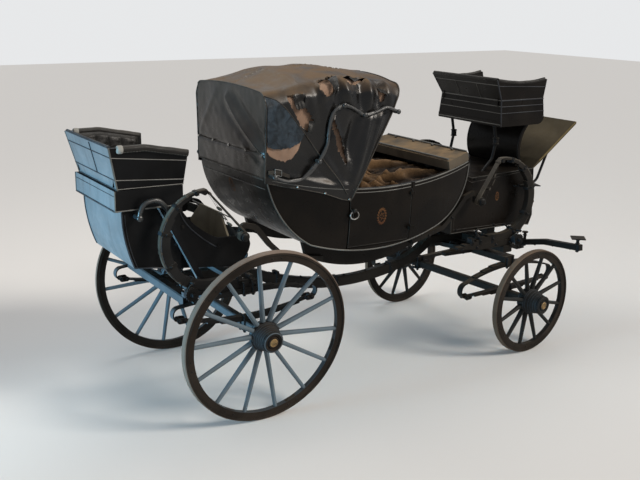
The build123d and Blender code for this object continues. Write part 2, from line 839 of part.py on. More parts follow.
# Rumble: a boot and foot well behind the body, with a servants' seat above
with BuildPart() as hind_boot:
    with BuildSketch(side(BODY, 0)):
        add(
            outline(
                ((-400, 1010), (-560, 1046)),
                ((-560, 1046), (-720, 1060)),
                ((-720, 1060), (-775, 1240), (-795, 1448)),
                ((-795, 1448), (-400, 1448)),
                ((-400, 1448), (-400, 1010)),
            )
        )
    extrude(amount=360, both=True)
finish(hind_boot, "hind_boot")

with BuildPart() as foot_well:
    with BuildSketch(side(BODY, 0)):
        add(
            outline(
                ((-400, 1010), (-30, 968)),
                ((-30, 968), (80, 1010), (132, 1108)),
                ((132, 1108), (118, 1172)),
                ((118, 1172), (-110, 1180)),
                ((-110, 1180), (-300, 1310), (-400, 1446)),
                ((-400, 1446), (-400, 1010)),
            )
        )
    extrude(amount=330, both=True)
    with BuildSketch(side(BODY, 0)):
        add(
            outline(
                ((-400, 1030), (-32, 988)),
                ((-32, 988), (62, 1026), (112, 1108)),
                ((112, 1108), (96, 1300)),
                ((96, 1300), (-400, 1600)),
                ((-400, 1600), (-400, 1030)),
            )
        )
    extrude(amount=310, both=True, mode=Mode.SUBTRACT)
finish(foot_well, "foot_well")

TOE_FOOT = (-50.0, 975.0)
TOE_TOP = (-16.0, 1309.0)
TOE_SHOULDER = 1170.0
TOE_HALF = 306.0
with BuildPart() as toe_board:
    with BuildSketch(side(BODY, 0)):
        with BuildLine():
            Polyline(
                TOE_FOOT,
                (TOE_FOOT[0] + 14, TOE_FOOT[1]),
                (TOE_TOP[0] + 14, TOE_TOP[1]),
                TOE_TOP,
                close=True,
            )
        make_face()
    extrude(amount=TOE_HALF, both=True)
    with BuildSketch(front(BODY, TOE_FOOT[0] - 50)):
        with BuildLine():
            Polyline(
                (-TOE_HALF, TOE_FOOT[1]),
                (TOE_HALF, TOE_FOOT[1]),
                (TOE_HALF, TOE_SHOULDER),
                (TOE_HALF * 0.54, TOE_TOP[1]),
                (-TOE_HALF * 0.54, TOE_TOP[1]),
                (-TOE_HALF, TOE_SHOULDER),
                close=True,
            )
        make_face()
    extrude(amount=150, mode=Mode.INTERSECT)
    add(foot_well.part, mode=Mode.SUBTRACT)
finish(toe_board, "toe_board")

STAY_Y = 430.0
STAY_ROUTE = ((-706, 1408), (-668, 1498), (-580, 1512), (-505, 1420))
stay_rods = [swept_rod(side(BODY, sign * STAY_Y), STAY_ROUTE, 36, 12) for sign in SIDES.values()]
with BuildPart() as rumble_stays:
    for rod in stay_rods:
        add(rod)
    for sign in SIDES.values():
        for foot, near, far in (
            (STAY_ROUTE[0], 360, STAY_Y + 14),
            (STAY_ROUTE[-1], STAY_Y - 14, SPRING_Y - SPRING_WIDTH / 2),
        ):
            with BuildSketch(side(BODY, sign * far)):
                with Locations(foot):
                    Circle(16)
            extrude(amount=sign * (far - near))
finish(rumble_stays, "rumble_stays")

with BuildPart() as hind_standards:
    for sign in SIDES.values():
        with BuildSketch(side(BODY, sign * 382)):
            with BuildLine():
                Polyline((-280, REAR_IRON_HIGH), (-236, REAR_IRON_HIGH), (-516, 1448), (-560, 1448), close=True)
            make_face()
        extrude(amount=20, both=True)
        with BuildSketch(side(BODY, sign * 420)):
            with Locations((-262, REAR_IRON_HIGH - 14)):
                Rectangle(80, 28)
        extrude(amount=55, both=True)
finish(hind_standards, "hind_standards")


def tub(low, high, wall, base):
    """Open-fronted seat tub between two level outlines: (z, back x, front x, half width)."""
    with BuildPart() as form:
        for inset, mode in ((0, Mode.ADD), (wall, Mode.SUBTRACT)):
            for z, back, ahead, half in (low, high):
                with BuildSketch(level(base, z)):
                    with BuildLine():
                        Polyline(
                            (back + inset, inset - half),
                            (ahead + inset * 4, inset - half),
                            (ahead + inset * 4, half - inset),
                            (back + inset, half - inset),
                            close=True,
                        )
                    make_face()
            loft(ruled=True, mode=mode)
    return form.part


RUMBLE_BASE = 1448.0
RUMBLE_SEAT = 1582.0
rumble_tub = tub((RUMBLE_SEAT, -819, -372, 362), (1861, RUMBLE_TAIL, -350, 425), 26, BODY)
with BuildPart() as rumble_seat:
    with BuildSketch(level(BODY, RUMBLE_BASE)):
        with Locations((-612, 0)):
            Rectangle(460, 2 * 378)
    extrude(amount=RUMBLE_SEAT - RUMBLE_BASE)
    add(rumble_tub)
    with BuildSketch(side(BODY, 0)):
        with BuildLine():
            Polyline((-700, 1870), (-340, 1800), (-300, 1800), (-300, 1900), (-700, 1900), close=True)
        make_face()
    extrude(amount=500, both=True, mode=Mode.SUBTRACT)
finish(rumble_seat, "rumble_seat")

with BuildPart() as rumble_cushions:
    with BuildSketch(level(BODY, RUMBLE_SEAT + 0.3)):
        with Locations((-570, 0)):
            RectangleRounded(400, 2 * 328, 24)
    extrude(amount=90)
finish(rumble_cushions, "rumble_cushions")

# Fore carriage, upper half: bed, upper wheel plate, kingpin and side irons
PLATE_LOW = 746.0
PLATE = 12.0
PLATE_GAP = 0.5
FORE_BED_TOP = 836.0
FRONT_IRON_HIGH = FRONT_C[1] - C_RADIUS
with BuildPart() as fore_bed_upper:
    with BuildSketch(side(BODY, 0)):
        with Locations((WHEELBASE, (782 + FORE_BED_TOP) / 2)):
            bed = Rectangle(90, FORE_BED_TOP - 782)
            chamfer(bed.vertices(), 6)
    extrude(amount=540, both=True)
    with BuildSketch(level(BODY, PLATE_LOW + PLATE + PLATE_GAP)):
        with Locations((WHEELBASE, 0)):
            Circle(262)
            Circle(212, mode=Mode.SUBTRACT)
            Rectangle(90, 480)
    extrude(amount=782 - PLATE_LOW - PLATE - PLATE_GAP)
    with BuildSketch(level(BODY, 640)):
        with Locations((WHEELBASE, 0)):
            Circle(20)
    extrude(amount=130)
finish(fore_bed_upper, "fore_bed_upper")

with BuildPart() as front_side_irons:
    for sign in SIDES.values():
        with BuildSketch(side(BODY, sign * SPRING_Y)):
            add(
                outline(
                    ((1850, 866), (1850, FRONT_IRON_HIGH)),
                    ((1850, FRONT_IRON_HIGH), (2440, FRONT_IRON_HIGH)),
                    ((2440, FRONT_IRON_HIGH), (2440, 852)),
                    ((2440, 852), (2410, FORE_BED_TOP)),
                    ((2410, FORE_BED_TOP), (2100, FORE_BED_TOP)),
                    ((2100, FORE_BED_TOP), (1850, 866)),
                )
            )
        extrude(amount=25, both=True)
finish(front_side_irons, "front_side_irons")

# Fore carriage, lower half: it turns about the kingpin with the fore axle and splinter bar
LOWER_BED_LOW = FORE_MIDS[1] + PACK
with BuildPart() as fore_bed_lower:
    with BuildSketch(side(FORE, 0)):
        with Locations((-20, (LOWER_BED_LOW + PLATE_LOW) / 2)):
            Rectangle(110, PLATE_LOW - LOWER_BED_LOW)
    extrude(amount=ELLIPTIC_Y + SPRING_WIDTH / 2, both=True)
    with BuildSketch(level(FORE, PLATE_LOW)):
        Circle(262)
        Circle(212, mode=Mode.SUBTRACT)
        Rectangle(90, 480)
    extrude(amount=PLATE)
    with BuildSketch(level(FORE, LOWER_BED_LOW)):
        Circle(20 + RUNNING_FIT)
    extrude(amount=80, mode=Mode.SUBTRACT)
finish(fore_bed_lower, "fore_bed_lower")

SPLINTER_MID = 666.0
with BuildPart() as futchells:
    for sign in SIDES.values():
        with BuildSketch(side(FORE, sign * 150)):
            add(
                outline(
                    ((-75, 700), (-380, 716)),
                    ((-380, 716), (-380, 744)),
                    ((-380, 744), (-75, 744)),
                    ((-75, 744), (-75, 700)),
                )
            )
            add(
                outline(
                    ((35, 700), (260, 696)),
                    ((260, 696), (390, 672), (500, 634)),
                    ((500, 634), (594, 634)),
                    ((594, 634), (594, SPLINTER_MID)),
                    ((594, SPLINTER_MID), (505, SPLINTER_MID)),
                    ((505, SPLINTER_MID), (400, 712), (250, 744)),
                    ((250, 744), (35, 744)),
                    ((35, 744), (35, 700)),
                )
            )
        extrude(amount=22, both=True)
finish(futchells, "futchells")

SPLINTER_X = 546.0
SPLINTER = 46.0
SPLINTER_ROUTE = (
    (-806, 784), (-440, 757), (-150, SPLINTER_MID + SPLINTER / 2),
    (150, SPLINTER_MID + SPLINTER / 2), (440, 757), (806, 784),
)
BOLT_Y = 770.0
BOLT_HEAD = 858.0
splinter_form = swept_bar(front(FORE, SPLINTER_X), SPLINTER_ROUTE, 240, SPLINTER, SPLINTER)
with BuildPart() as splinter_bar:
    add(splinter_form)
    for place, low, high in ((-BOLT_Y, 742, BOLT_HEAD), (-215, 672, 790), (215, 672, 790), (BOLT_Y, 742, BOLT_HEAD)):
        with BuildSketch(level(FORE, low)):
            with Locations((SPLINTER_X, place)):
                Circle(13)
        extrude(amount=high - low)
        if place != -BOLT_Y:
            with BuildSketch(level(FORE, high)):
                with Locations((SPLINTER_X, place)):
                    Circle(26)
            extrude(amount=10)
    with BuildSketch(level(FORE, BOLT_HEAD)):
        with Locations((SPLINTER_X, -BOLT_Y)):
            Rectangle(112, 112, rotation=45)
    extrude(amount=8)
finish(splinter_bar, "splinter_bar")

# Front boot, box seat and footboard
BOOT_HALF = 400.0
BOOT_LOW = 962.0
with BuildPart() as front_boot:
    with BuildSketch(side(BODY, 0)):
        add(
            outline(
                ((1951, 1446), (1880, 1200), (1871, BOOT_LOW)),
                ((1871, BOOT_LOW), (2567, BOOT_LOW)),
                ((2567, BOOT_LOW), (2718, 940)),
                ((2718, 940), (2752, 1020)),
                ((2752, 1020), (2735, 1417)),
                ((2735, 1417), (2068, 1402)),
                ((2068, 1402), (1951, 1446)),
            )
        )
    extrude(amount=BOOT_HALF, both=True)
finish(front_boot, "front_boot")

STEP_TOP = 1293.0
with BuildPart() as boot_steps:
    for sign in SIDES.values():
        with BuildSketch(level(BODY, STEP_TOP - 8)):
            with BuildLine():
                Polyline(
                    (2530, sign * BOOT_HALF),
                    (2536, sign * (BOOT_HALF + 50)),
                    (2640, sign * (BOOT_HALF + 62)),
                    (2706, sign * (BOOT_HALF + 120)),
                    (2745, sign * BOOT_HALF),
                    close=True,
                )
            make_face()
        extrude(amount=8)
finish(boot_steps, "boot_steps")

with BuildPart() as boot_standards:
    for sign in SIDES.values():
        with BuildSketch(level(BODY, FORE_BED_TOP)):
            with Locations((WHEELBASE, sign * 300)):
                Rectangle(80, 70)
        extrude(amount=BOOT_LOW - FORE_BED_TOP)
finish(boot_standards, "boot_standards")

with BuildPart() as box_riser:
    with BuildSketch(side(BODY, 0)):
        add(
            outline(
                ((2690, 1418), (2650, 1560), (2738, 1774)),
                ((2738, 1774), (2714, 1774)),
                ((2714, 1774), (2628, 1560), (2668, 1418)),
                ((2668, 1418), (2690, 1418)),
            )
        )
    extrude(amount=316, both=True)
finish(box_riser, "box_riser")

box_tub_low = tub((1812, 2355, 2826, 382), (1980, 2364, 2822, 363), 26, BODY)
box_tub_high = tub((1980, 2364, 2822, 363), (2160, 2269, 2816, 401), 26, BODY)
with BuildPart() as box_seat:
    with BuildSketch(level(BODY, 1774)):
        with Locations((2590, 0)):
            Rectangle(480, 2 * 384)
    extrude(amount=40)
    add(box_tub_low)
    add(box_tub_high)
    with BuildSketch(side(BODY, 0)):
        add(
            outline(
                ((2240, 2152), (2559, 2113), (2860, 2146)),
                ((2860, 2146), (2860, 2200)),
                ((2860, 2200), (2240, 2200)),
                ((2240, 2200), (2240, 2152)),
            )
        )
        add(
            outline(
                ((2740, 1774), (2806, 1794), (2830, 1850)),
                ((2830, 1850), (2900, 1850)),
                ((2900, 1850), (2900, 1750)),
                ((2900, 1750), (2740, 1750)),
                ((2740, 1750), (2740, 1774)),
            )
        )
    extrude(amount=500, both=True, mode=Mode.SUBTRACT)
finish(box_seat, "box_seat")

with BuildPart() as box_cushions:
    with BuildSketch(level(BODY, 1814.3)):
        with Locations((2612, 0)):
            RectangleRounded(430, 2 * 330, 24)
    extrude(amount=110)
finish(box_cushions, "box_cushions")

BOX_STAY_ROUTE = ((2398, 1786), (2428, 1640), (2396, 1500), (2292, 1396))
box_rods = [swept_rod(side(BODY, sign * 262), BOX_STAY_ROUTE, 60, 12) for sign in SIDES.values()]
with BuildPart() as box_stays:
    for rod in box_rods:
        add(rod)
    for sign in SIDES.values():
        with BuildSketch(level(BODY, 1628)):
            with Locations((2428, sign * 262)):
                Circle(22)
        extrude(amount=30)
    add(box_seat.part, mode=Mode.SUBTRACT)
    add(front_boot.part, mode=Mode.SUBTRACT)
finish(box_stays, "box_stays")

with BuildPart() as footboard:
    with BuildSketch(side(BODY, 0)):
        with BuildLine():
            Polyline(
                FOOTBOARD_LOW,
                FOOTBOARD_HIGH,
                (FOOTBOARD_HIGH[0] - 15, FOOTBOARD_HIGH[1] + 20),
                (FOOTBOARD_LOW[0] - 15, FOOTBOARD_LOW[1] + 20),
                close=True,
            )
        make_face()
        with BuildLine():
            Polyline(
                (2738, 1417),
                FOOTBOARD_LOW,
                (FOOTBOARD_LOW[0] - 15, FOOTBOARD_LOW[1] + 20),
                (2722, 1417),
                close=True,
            )
        make_face()
    extrude(amount=BOOT_HALF, both=True)
finish(footboard, "footboard")

footboard_rods = [
    swept_rod(side(BODY, sign * 330), ((2735, 1226), (2850, 1300), (2984, 1600)), 80, 11)
    for sign in SIDES.values()
]
with BuildPart() as footboard_irons:
    for rod in footboard_rods:
        add(rod)
    add(footboard.part, mode=Mode.SUBTRACT)
    add(front_boot.part, mode=Mode.SUBTRACT)
finish(footboard_irons, "footboard_irons")
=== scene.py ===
"""Dressed model of a worn horse drawn carriage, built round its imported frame."""

import json
import logging
import math
from dataclasses import dataclass, field, replace
from enum import Enum
from itertools import product
from typing import Callable, Iterable, Sequence

import bpy
from mathutils import Matrix, Vector, noise
from mathutils.bvhtree import BVHTree


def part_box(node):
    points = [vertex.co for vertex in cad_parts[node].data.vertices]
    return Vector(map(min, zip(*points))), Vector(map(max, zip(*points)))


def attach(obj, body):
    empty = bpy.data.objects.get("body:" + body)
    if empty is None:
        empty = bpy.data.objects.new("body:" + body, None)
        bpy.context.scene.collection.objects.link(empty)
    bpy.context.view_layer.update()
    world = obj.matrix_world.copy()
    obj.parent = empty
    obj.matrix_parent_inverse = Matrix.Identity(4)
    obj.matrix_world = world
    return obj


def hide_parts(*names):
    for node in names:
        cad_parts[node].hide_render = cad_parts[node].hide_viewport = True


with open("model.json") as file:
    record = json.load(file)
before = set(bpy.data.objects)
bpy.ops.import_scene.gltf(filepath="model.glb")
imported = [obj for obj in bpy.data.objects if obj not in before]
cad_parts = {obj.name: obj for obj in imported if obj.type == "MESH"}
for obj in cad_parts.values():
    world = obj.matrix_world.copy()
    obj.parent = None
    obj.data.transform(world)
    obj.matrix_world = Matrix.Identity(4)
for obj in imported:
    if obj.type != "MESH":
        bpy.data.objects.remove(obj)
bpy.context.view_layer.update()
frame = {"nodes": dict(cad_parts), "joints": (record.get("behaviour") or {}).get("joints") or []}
NODES = frame["nodes"]
REAR_AXLE = Vector((-1.155, 0.0, 0.0))

log = logging.getLogger("carriage")
logging.basicConfig(level=logging.INFO, format="%(message)s")

Flat = tuple[float, float]
Point = tuple[float, float, float]
Colour = Point
Socket = bpy.types.NodeSocket
Thing = bpy.types.Object

# Directions, and where rays start from: y beside the carriage and x behind its body.
UP, DOWN = Vector((0.0, 0.0, 1.0)), Vector((0.0, 0.0, -1.0))
FORWARD, BACKWARD = Vector((1.0, 0.0, 0.0)), Vector((-1.0, 0.0, 0.0))
LEFTWARD = Vector((0.0, 1.0, 0.0))
BESIDE = 2.0
BEHIND = -0.6


def at(x: float, y: float, z: float) -> Vector:
    """Turns a place measured from the hind axle into the frame's own.

    Args:
        x: Forward of the hind axle, in metres.
        y: To the carriage's left.
        z: Above the ground.

    Returns:
        The same place in the frame.
    """
    return REAR_AXLE + Vector((x, y, z))


# Finishes


class Shader:
    """One material's node tree, with short calls for the nodes that the finishes share."""

    FADE = 0.006

    def __init__(self, name: str) -> None:
        """Makes an empty material round a principled shader.

        Args:
            name: The material's name.
        """
        self.material = bpy.data.materials.new(name)
        self.material.use_nodes = True
        self.tree = self.material.node_tree
        self.principled = self.tree.nodes["Principled BSDF"]
        places = self.tree.nodes.new("ShaderNodeTexCoord").outputs
        self.coords, self.own_normal = places["Object"], places["Normal"]

    def node(self, kind: str, inputs: dict[str | int, Socket | float | tuple], **settings: str) -> bpy.types.Node:
        """Adds a node, with its own settings and its inputs linked or filled.

        Args:
            kind: The node's type, after ShaderNode.
            inputs: A socket to link or a value to set, for each input by name or number.
            **settings: The node's settings.

        Returns:
            The node.
        """
        node = self.tree.nodes.new(f"ShaderNode{kind}")
        for name, value in settings.items():
            setattr(node, name, value)
        for name, value in inputs.items():
            if isinstance(value, Socket):
                self.tree.links.new(value, node.inputs[name])
            else:
                node.inputs[name].default_value = value
        return node

    def plug(self, source: Socket, name: str) -> None:
        """Links a socket to one of the shader's inputs."""
        self.tree.links.new(source, self.principled.inputs[name])

    def fix(self, name: str, value: float | Colour) -> None:
        """Sets one of the shader's inputs to a constant."""
        self.principled.inputs[name].default_value = (*value, 1.0) if isinstance(value, tuple) else value

    def stretched(self, scale: Point) -> Socket:
        """Coordinates scaled by a different amount on each axis."""
        return self.node("Mapping", {"Scale": scale, "Vector": self.coords}).outputs["Vector"]

    def noise(
        self, scale: float, detail: float = 4.0, distortion: float = 0.0, coords: Socket | None = None
    ) -> Socket:
        """Cloudy noise.

        Args:
            scale: Features per metre.
            detail: Octaves.
            distortion: How far the noise is stirred.
            coords: Coordinates to read, the object's own by default.

        Returns:
            The noise's grey value.
        """
        inputs = {"Scale": scale, "Detail": detail, "Distortion": distortion, "Vector": coords or self.coords}
        return self.node("TexNoise", inputs).outputs["Fac"]

    def mark(self, name: str) -> Socket:
        """A grey value painted on the mesh's points."""
        return self.node("Attribute", {}, attribute_name=name).outputs["Fac"]

    def cells(self, scale: float) -> Socket:
        """Distance to the edges of Voronoi cells, as in cracked leather."""
        inputs = {"Scale": scale, "Vector": self.coords}
        return self.node("TexVoronoi", inputs, feature="DISTANCE_TO_EDGE").outputs["Distance"]

    def span(self, value: Socket, low: float, high: float, start: float = 0.0, end: float = 1.0) -> Socket:
        """Maps low..high to start..end and holds it there outside."""
        inputs = {"Value": value, "From Min": low, "From Max": high, "To Min": start, "To Max": end}
        return self.node("MapRange", inputs).outputs["Result"]

    def product(self, first: Socket, second: Socket | float) -> Socket:
        """Multiplies two grey values."""
        return self.maths("MULTIPLY", first, second)

    def maths(self, kind: str, first: Socket, second: Socket | float) -> Socket:
        """One step of arithmetic on a grey value."""
        return self.node("Math", {0: first, 1: second}, operation=kind).outputs["Value"]

    def tint(self, factor: Socket, *colours: Socket | Colour) -> Socket:
        """Blends two colours by a grey value."""
        first, second = ((*colour, 1.0) if isinstance(colour, tuple) else colour for colour in colours)
        return self.node("Mix", {"Factor": factor, 6: first, 7: second}, data_type="RGBA").outputs[2]

    def facing(self, axis: int, low: float, high: float) -> Socket:
        """Rises from nothing to one as the normal's part on an axis goes from low to high."""
        normal = self.node("NewGeometry", {}).outputs["Normal"]
        return self.span(self.node("SeparateXYZ", {"Vector": normal}).outputs[axis], low, high)

    def facing_up(self, low: float = 0.25, high: float = 0.95) -> Socket:
        """One on level faces, nothing on upright ones."""
        return self.facing(2, low, high)

    def vector(self, kind: str, first: Socket, second: Socket | Point) -> bpy.types.Node:
        """One step of vector arithmetic."""
        return self.node("VectorMath", {0: first, 1: second}, operation=kind)

    def band(self, hub: Point, inner: float, outer: float) -> Socket:
        """One between two distances from a place, nothing outside them."""
        away = self.vector("DISTANCE", self.coords, hub).outputs["Value"]
        rising = self.span(away, inner - self.FADE, inner)
        falling = self.span(away, outer, outer + self.FADE, 1.0, 0.0)
        return self.product(rising, falling)

    def facing_out(self, hub: Point) -> Socket:
        """One where the surface faces away from a place, as a tyre's tread does."""
        arm = self.vector("SUBTRACT", self.coords, hub).outputs["Vector"]
        arm = self.vector("NORMALIZE", arm, (0.0, 0.0, 0.0)).outputs["Vector"]
        return self.span(self.vector("DOT_PRODUCT", arm, self.own_normal).outputs["Value"], 0.35, 0.85)

    def relief(self, height: Socket, depth: float) -> None:
        """Bumps the surface by a height that is depth metres at its most."""
        bump = self.node("Bump", {"Distance": depth, "Strength": 1.0, "Height": height})
        self.plug(bump.outputs["Normal"], "Normal")


@dataclass(frozen=True)
class OldPaint:
    """Coach paint: dark, dulled in patches, dusty where it faces up and rubbed in spots, with painted window light on
    its rear-facing faces where a behind colour is given.
    """

    name: str
    base: Colour
    faded: Colour
    dust: Colour = (0.11, 0.1, 0.085)
    dusting: float = 0.35
    chips: Colour = (0.2, 0.15, 0.1)
    chipping: float = 0.0
    gloss: Flat = (0.3, 0.5)
    grain: float = 0.00025
    # behind: painted light, the colour that faces turned to the rear take in place of the cool window light falling on
    # them.
    behind: Colour | None = None
    hub: Point | None = None
    spokes: Colour | None = None
    tread: Colour | None = None
    shine: float = 0.10
    reach: Flat = (0.112, 0.530)

    def make(self) -> bpy.types.Material:
        """Builds the material."""
        shader = Shader(self.name)
        shader.fix("Specular IOR Level", self.shine)
        clouds = shader.span(shader.noise(3.2, 6.0, 0.6), 0.35, 0.68)
        colour = shader.tint(clouds, self.base, self.faded)
        # Painted light: faces turned to the rear take the behind colour, a little varied by the cloud patches.
        if self.behind is not None:
            painted_rear_light = shader.product(shader.facing(0, -0.45, -0.9), shader.span(clouds, 0.0, 1.0, 0.75, 1.0))
            colour = shader.tint(painted_rear_light, colour, self.behind)
        streaks = shader.noise(18.0, 5.0, 0.2, shader.stretched((1.0, 1.0, 0.12)))
        colour = shader.tint(shader.span(streaks, 0.55, 0.8, 0.0, 0.35), colour, self.faded)
        settled = shader.product(shader.facing_up(), shader.span(shader.noise(9.0, 5.0), 0.3, 0.65))
        settled = shader.product(settled, self.dusting)
        colour = shader.tint(settled, colour, self.dust)
        if self.chipping:
            specks = shader.span(shader.noise(70.0, 3.0, 0.4), 0.8 - self.chipping, 0.83 - self.chipping)
            patches = shader.span(shader.noise(5.0, 3.0), 0.5, 0.62)
            colour = shader.tint(shader.product(specks, patches), colour, self.chips)
        if self.hub is not None and self.spokes is not None:
            reach = shader.product(shader.band(self.hub, *self.reach), shader.span(clouds, 0.0, 1.0, 1.0, 0.72))
            colour = shader.tint(reach, colour, self.spokes)
        if self.hub is not None and self.tread is not None:
            worn = shader.product(shader.facing_out(self.hub), shader.span(clouds, 0.0, 1.0, 0.6, 1.0))
            colour = shader.tint(worn, colour, self.tread)
        shader.plug(colour, "Base Color")
        rubbed = shader.span(shader.noise(11.0, 7.0, 1.2), 0.3, 0.7, *self.gloss)
        shader.plug(shader.maths("ADD", rubbed, shader.product(settled, 0.5)), "Roughness")
        fine = shader.noise(160.0, 5.0)
        shader.relief(shader.maths("ADD", fine, shader.noise(22.0, 4.0)), self.grain)
        return shader.material


@dataclass(frozen=True)
class OldLeather:
    """Hide: fine cracks, long creases, dust where it faces up and worn brown in patches, which fold marks on the mesh
    can keep to the fold tops as painted light, with painted shade between.
    """

    name: str
    base: Colour
    worn: Colour
    dust: Colour
    dusting: float
    gloss: Flat = (0.3, 0.5)
    crackle: float = 90.0
    depth: float = 0.0009
    patches: Point = (5.0, 0.35, 0.7)
    shine: float = 0.2
    # Whether the mesh's fold marks paint light on the fold tops and shade in the hollows.
    crest: bool = False

    def make(self) -> bpy.types.Material:
        """Builds the material."""
        shader = Shader(self.name)
        shader.fix("Specular IOR Level", self.shine)
        clouds = shader.span(shader.noise(self.patches[0], 6.0, 1.0), *self.patches[1:])
        # Painted light and shade: the worn colour is kept to the fold tops the mesh marks, so the tops read as lit and
        # the hollows as shaded.
        if self.crest:
            painted_fold_lights = shader.span(shader.mark("crest"), 0.38, 0.92)
            clouds = shader.product(painted_fold_lights, shader.span(clouds, 0.0, 1.0, 0.3, 1.0))
        colour = shader.tint(clouds, self.base, self.worn)
        cracks = shader.span(shader.cells(self.crackle), 0.0, 0.06)
        colour = shader.tint(shader.maths("SUBTRACT", shader.span(cracks, 0.0, 1.0, 1.0, 0.45), 0.3), colour, self.base)
        settled = shader.product(shader.facing_up(0.3, 0.85), shader.span(shader.noise(6.0, 6.0, 0.5), 0.25, 0.6))
        settled = shader.product(settled, self.dusting)
        colour = shader.tint(settled, colour, self.dust)
        shader.plug(colour, "Base Color")
        rubbed = shader.span(shader.noise(7.0, 6.0, 1.0), 0.3, 0.7, *self.gloss)
        shader.plug(shader.maths("ADD", rubbed, shader.product(settled, 0.45)), "Roughness")
        creases = shader.noise(26.0, 6.0, 2.5)
        shader.relief(shader.maths("ADD", creases, shader.product(cracks, 0.5)), self.depth)
        return shader.material


@dataclass(frozen=True)
class RubbedMetal:
    """Bare or thinly coated metal with tarnish in patches."""

    name: str
    base: Colour
    tarnish: Colour
    metallic: float = 1.0
    gloss: Flat = (0.28, 0.5)

    def make(self) -> bpy.types.Material:
        """Builds the material."""
        shader = Shader(self.name)
        patches = shader.span(shader.noise(38.0, 6.0, 0.8), 0.35, 0.7)
        shader.plug(shader.tint(patches, self.base, self.tarnish), "Base Color")
        shader.fix("Metallic", self.metallic)
        shader.plug(shader.span(patches, 0.0, 1.0, *self.gloss), "Roughness")
        shader.relief(shader.noise(120.0, 4.0), 0.0003)
        return shader.material


# The rear spokes' light blue-grey is partly their grey paint and partly painted blue window light; the fore spokes
# carry only their own dark paint.
SPOKES = {
    "rear": ((0.112, 0.530), (0.105, 0.138, 0.162), (0.20, 0.155, 0.125)),
    "fore": ((0.092, 0.353), (0.020, 0.0205, 0.020), (0.13, 0.095, 0.068)),
}
# The behind colours in these paints are painted light: rear-facing faces take them as if lit by the cool window behind.
BODY_PAINT = OldPaint(
    "body_paint", (0.0038, 0.0030, 0.0024), (0.0080, 0.0060, 0.0044), (0.030, 0.025, 0.020), 0.3, gloss=(0.24, 0.42),
    behind=(0.010, 0.0090, 0.0078),
)
# Its pale blue behind colour is painted window light on the rear faces of the boot and rumble.
HIND_PAINT = OldPaint(
    "hind_paint", (0.0032, 0.0032, 0.0034), (0.0068, 0.007, 0.0074), (0.045, 0.047, 0.05), 0.35, gloss=(0.28, 0.48),
    behind=(0.155, 0.175, 0.19),
)
# Its blue behind colour is painted window light on the rear faces of the hind springs and irons.
HIND_GEAR = OldPaint(
    "hind_gear", (0.005, 0.0049, 0.0048), (0.0145, 0.014, 0.0135), (0.055, 0.052, 0.046), 0.35, (0.07, 0.05, 0.032),
    0.06, (0.34, 0.58), 0.0005, (0.088, 0.105, 0.12),
)
GEAR_PAINT = OldPaint(
    "gear_paint", (0.006, 0.0054, 0.0047), (0.0185, 0.0160, 0.0132), (0.085, 0.070, 0.052), 0.55,
    (0.07, 0.05, 0.032), 0.07, (0.34, 0.58), 0.0005, (0.017, 0.0165, 0.0155),
)
WHEEL_PAINT = OldPaint(
    "wheel_paint", (0.0105, 0.0078, 0.006), (0.025, 0.019, 0.0145), (0.06, 0.05, 0.04), 0.3, (0.09, 0.062, 0.04), 0.1,
    (0.42, 0.66), 0.0006, (0.03, 0.034, 0.038),
)
NAVE_PAINT = OldPaint(
    "nave_paint", (0.015, 0.017, 0.019), (0.034, 0.038, 0.042), (0.085, 0.085, 0.08), 0.35, (0.08, 0.058, 0.038), 0.06,
    (0.36, 0.58), 0.0005, (0.04, 0.052, 0.064),
)
TYRE_BAND = OldPaint(
    "tyre_band", (0.014, 0.0102, 0.0078), (0.032, 0.023, 0.017), (0.12, 0.095, 0.075), 0.4, (0.11, 0.075, 0.05), 0.12,
    (0.6, 0.85), 0.0007,
)
BOARD_PAINT = OldPaint(
    "board_paint", (0.040, 0.0315, 0.0175), (0.080, 0.063, 0.037), (0.088, 0.074, 0.052), 0.42, (0.12, 0.09, 0.04),
    0.08, (0.5, 0.72), 0.0005,
)
FRONT_BOARD = OldPaint(
    "front_board_paint", (0.058, 0.048, 0.036), (0.105, 0.086, 0.063), (0.210, 0.146, 0.084), 0.85, (0.12, 0.09, 0.04),
    0.08, (0.5, 0.72), 0.0005,
)
TOE_BOARD = OldPaint(
    "toe_board", (0.11, 0.095, 0.066), (0.19, 0.165, 0.118), (0.2, 0.175, 0.13), 0.3, (0.03, 0.024, 0.016), 0.08,
    (0.5, 0.72), 0.0005,
)
IRON = OldPaint(
    "iron", (0.0042, 0.004, 0.0038), (0.0115, 0.0108, 0.0098), chipping=0.04, gloss=(0.28, 0.46), grain=0.0004,
    behind=(0.02, 0.026, 0.032),
)
HOOD_IRON = OldPaint(
    "hood_iron", (0.0085, 0.0088, 0.0088), (0.024, 0.0242, 0.0235), (0.08, 0.076, 0.068), 0.4, (0.07, 0.05, 0.03), 0.06,
    (0.26, 0.42), 0.0004, shine=0.6,
)
HOOD_LEATHER = OldLeather(
    "hood_leather", (0.0026, 0.0024, 0.0022), (0.0056, 0.0050, 0.0043), (0.088, 0.050, 0.019), 0.95, (0.22, 0.32), 60.0,
    0.0003, shine=0.36,
)
STRAP_LEATHER = OldLeather(
    "strap_leather", (0.026, 0.0225, 0.018), (0.092, 0.080, 0.063), (0.17, 0.15, 0.12), 0.55, (0.38, 0.6), 160.0
)
SEAT_LEATHER = OldLeather(
    "seat_leather", (0.018, 0.010, 0.0055), (0.055, 0.032, 0.017), (0.12, 0.085, 0.055), 0.4, (0.35, 0.6), 70.0, 0.002
)
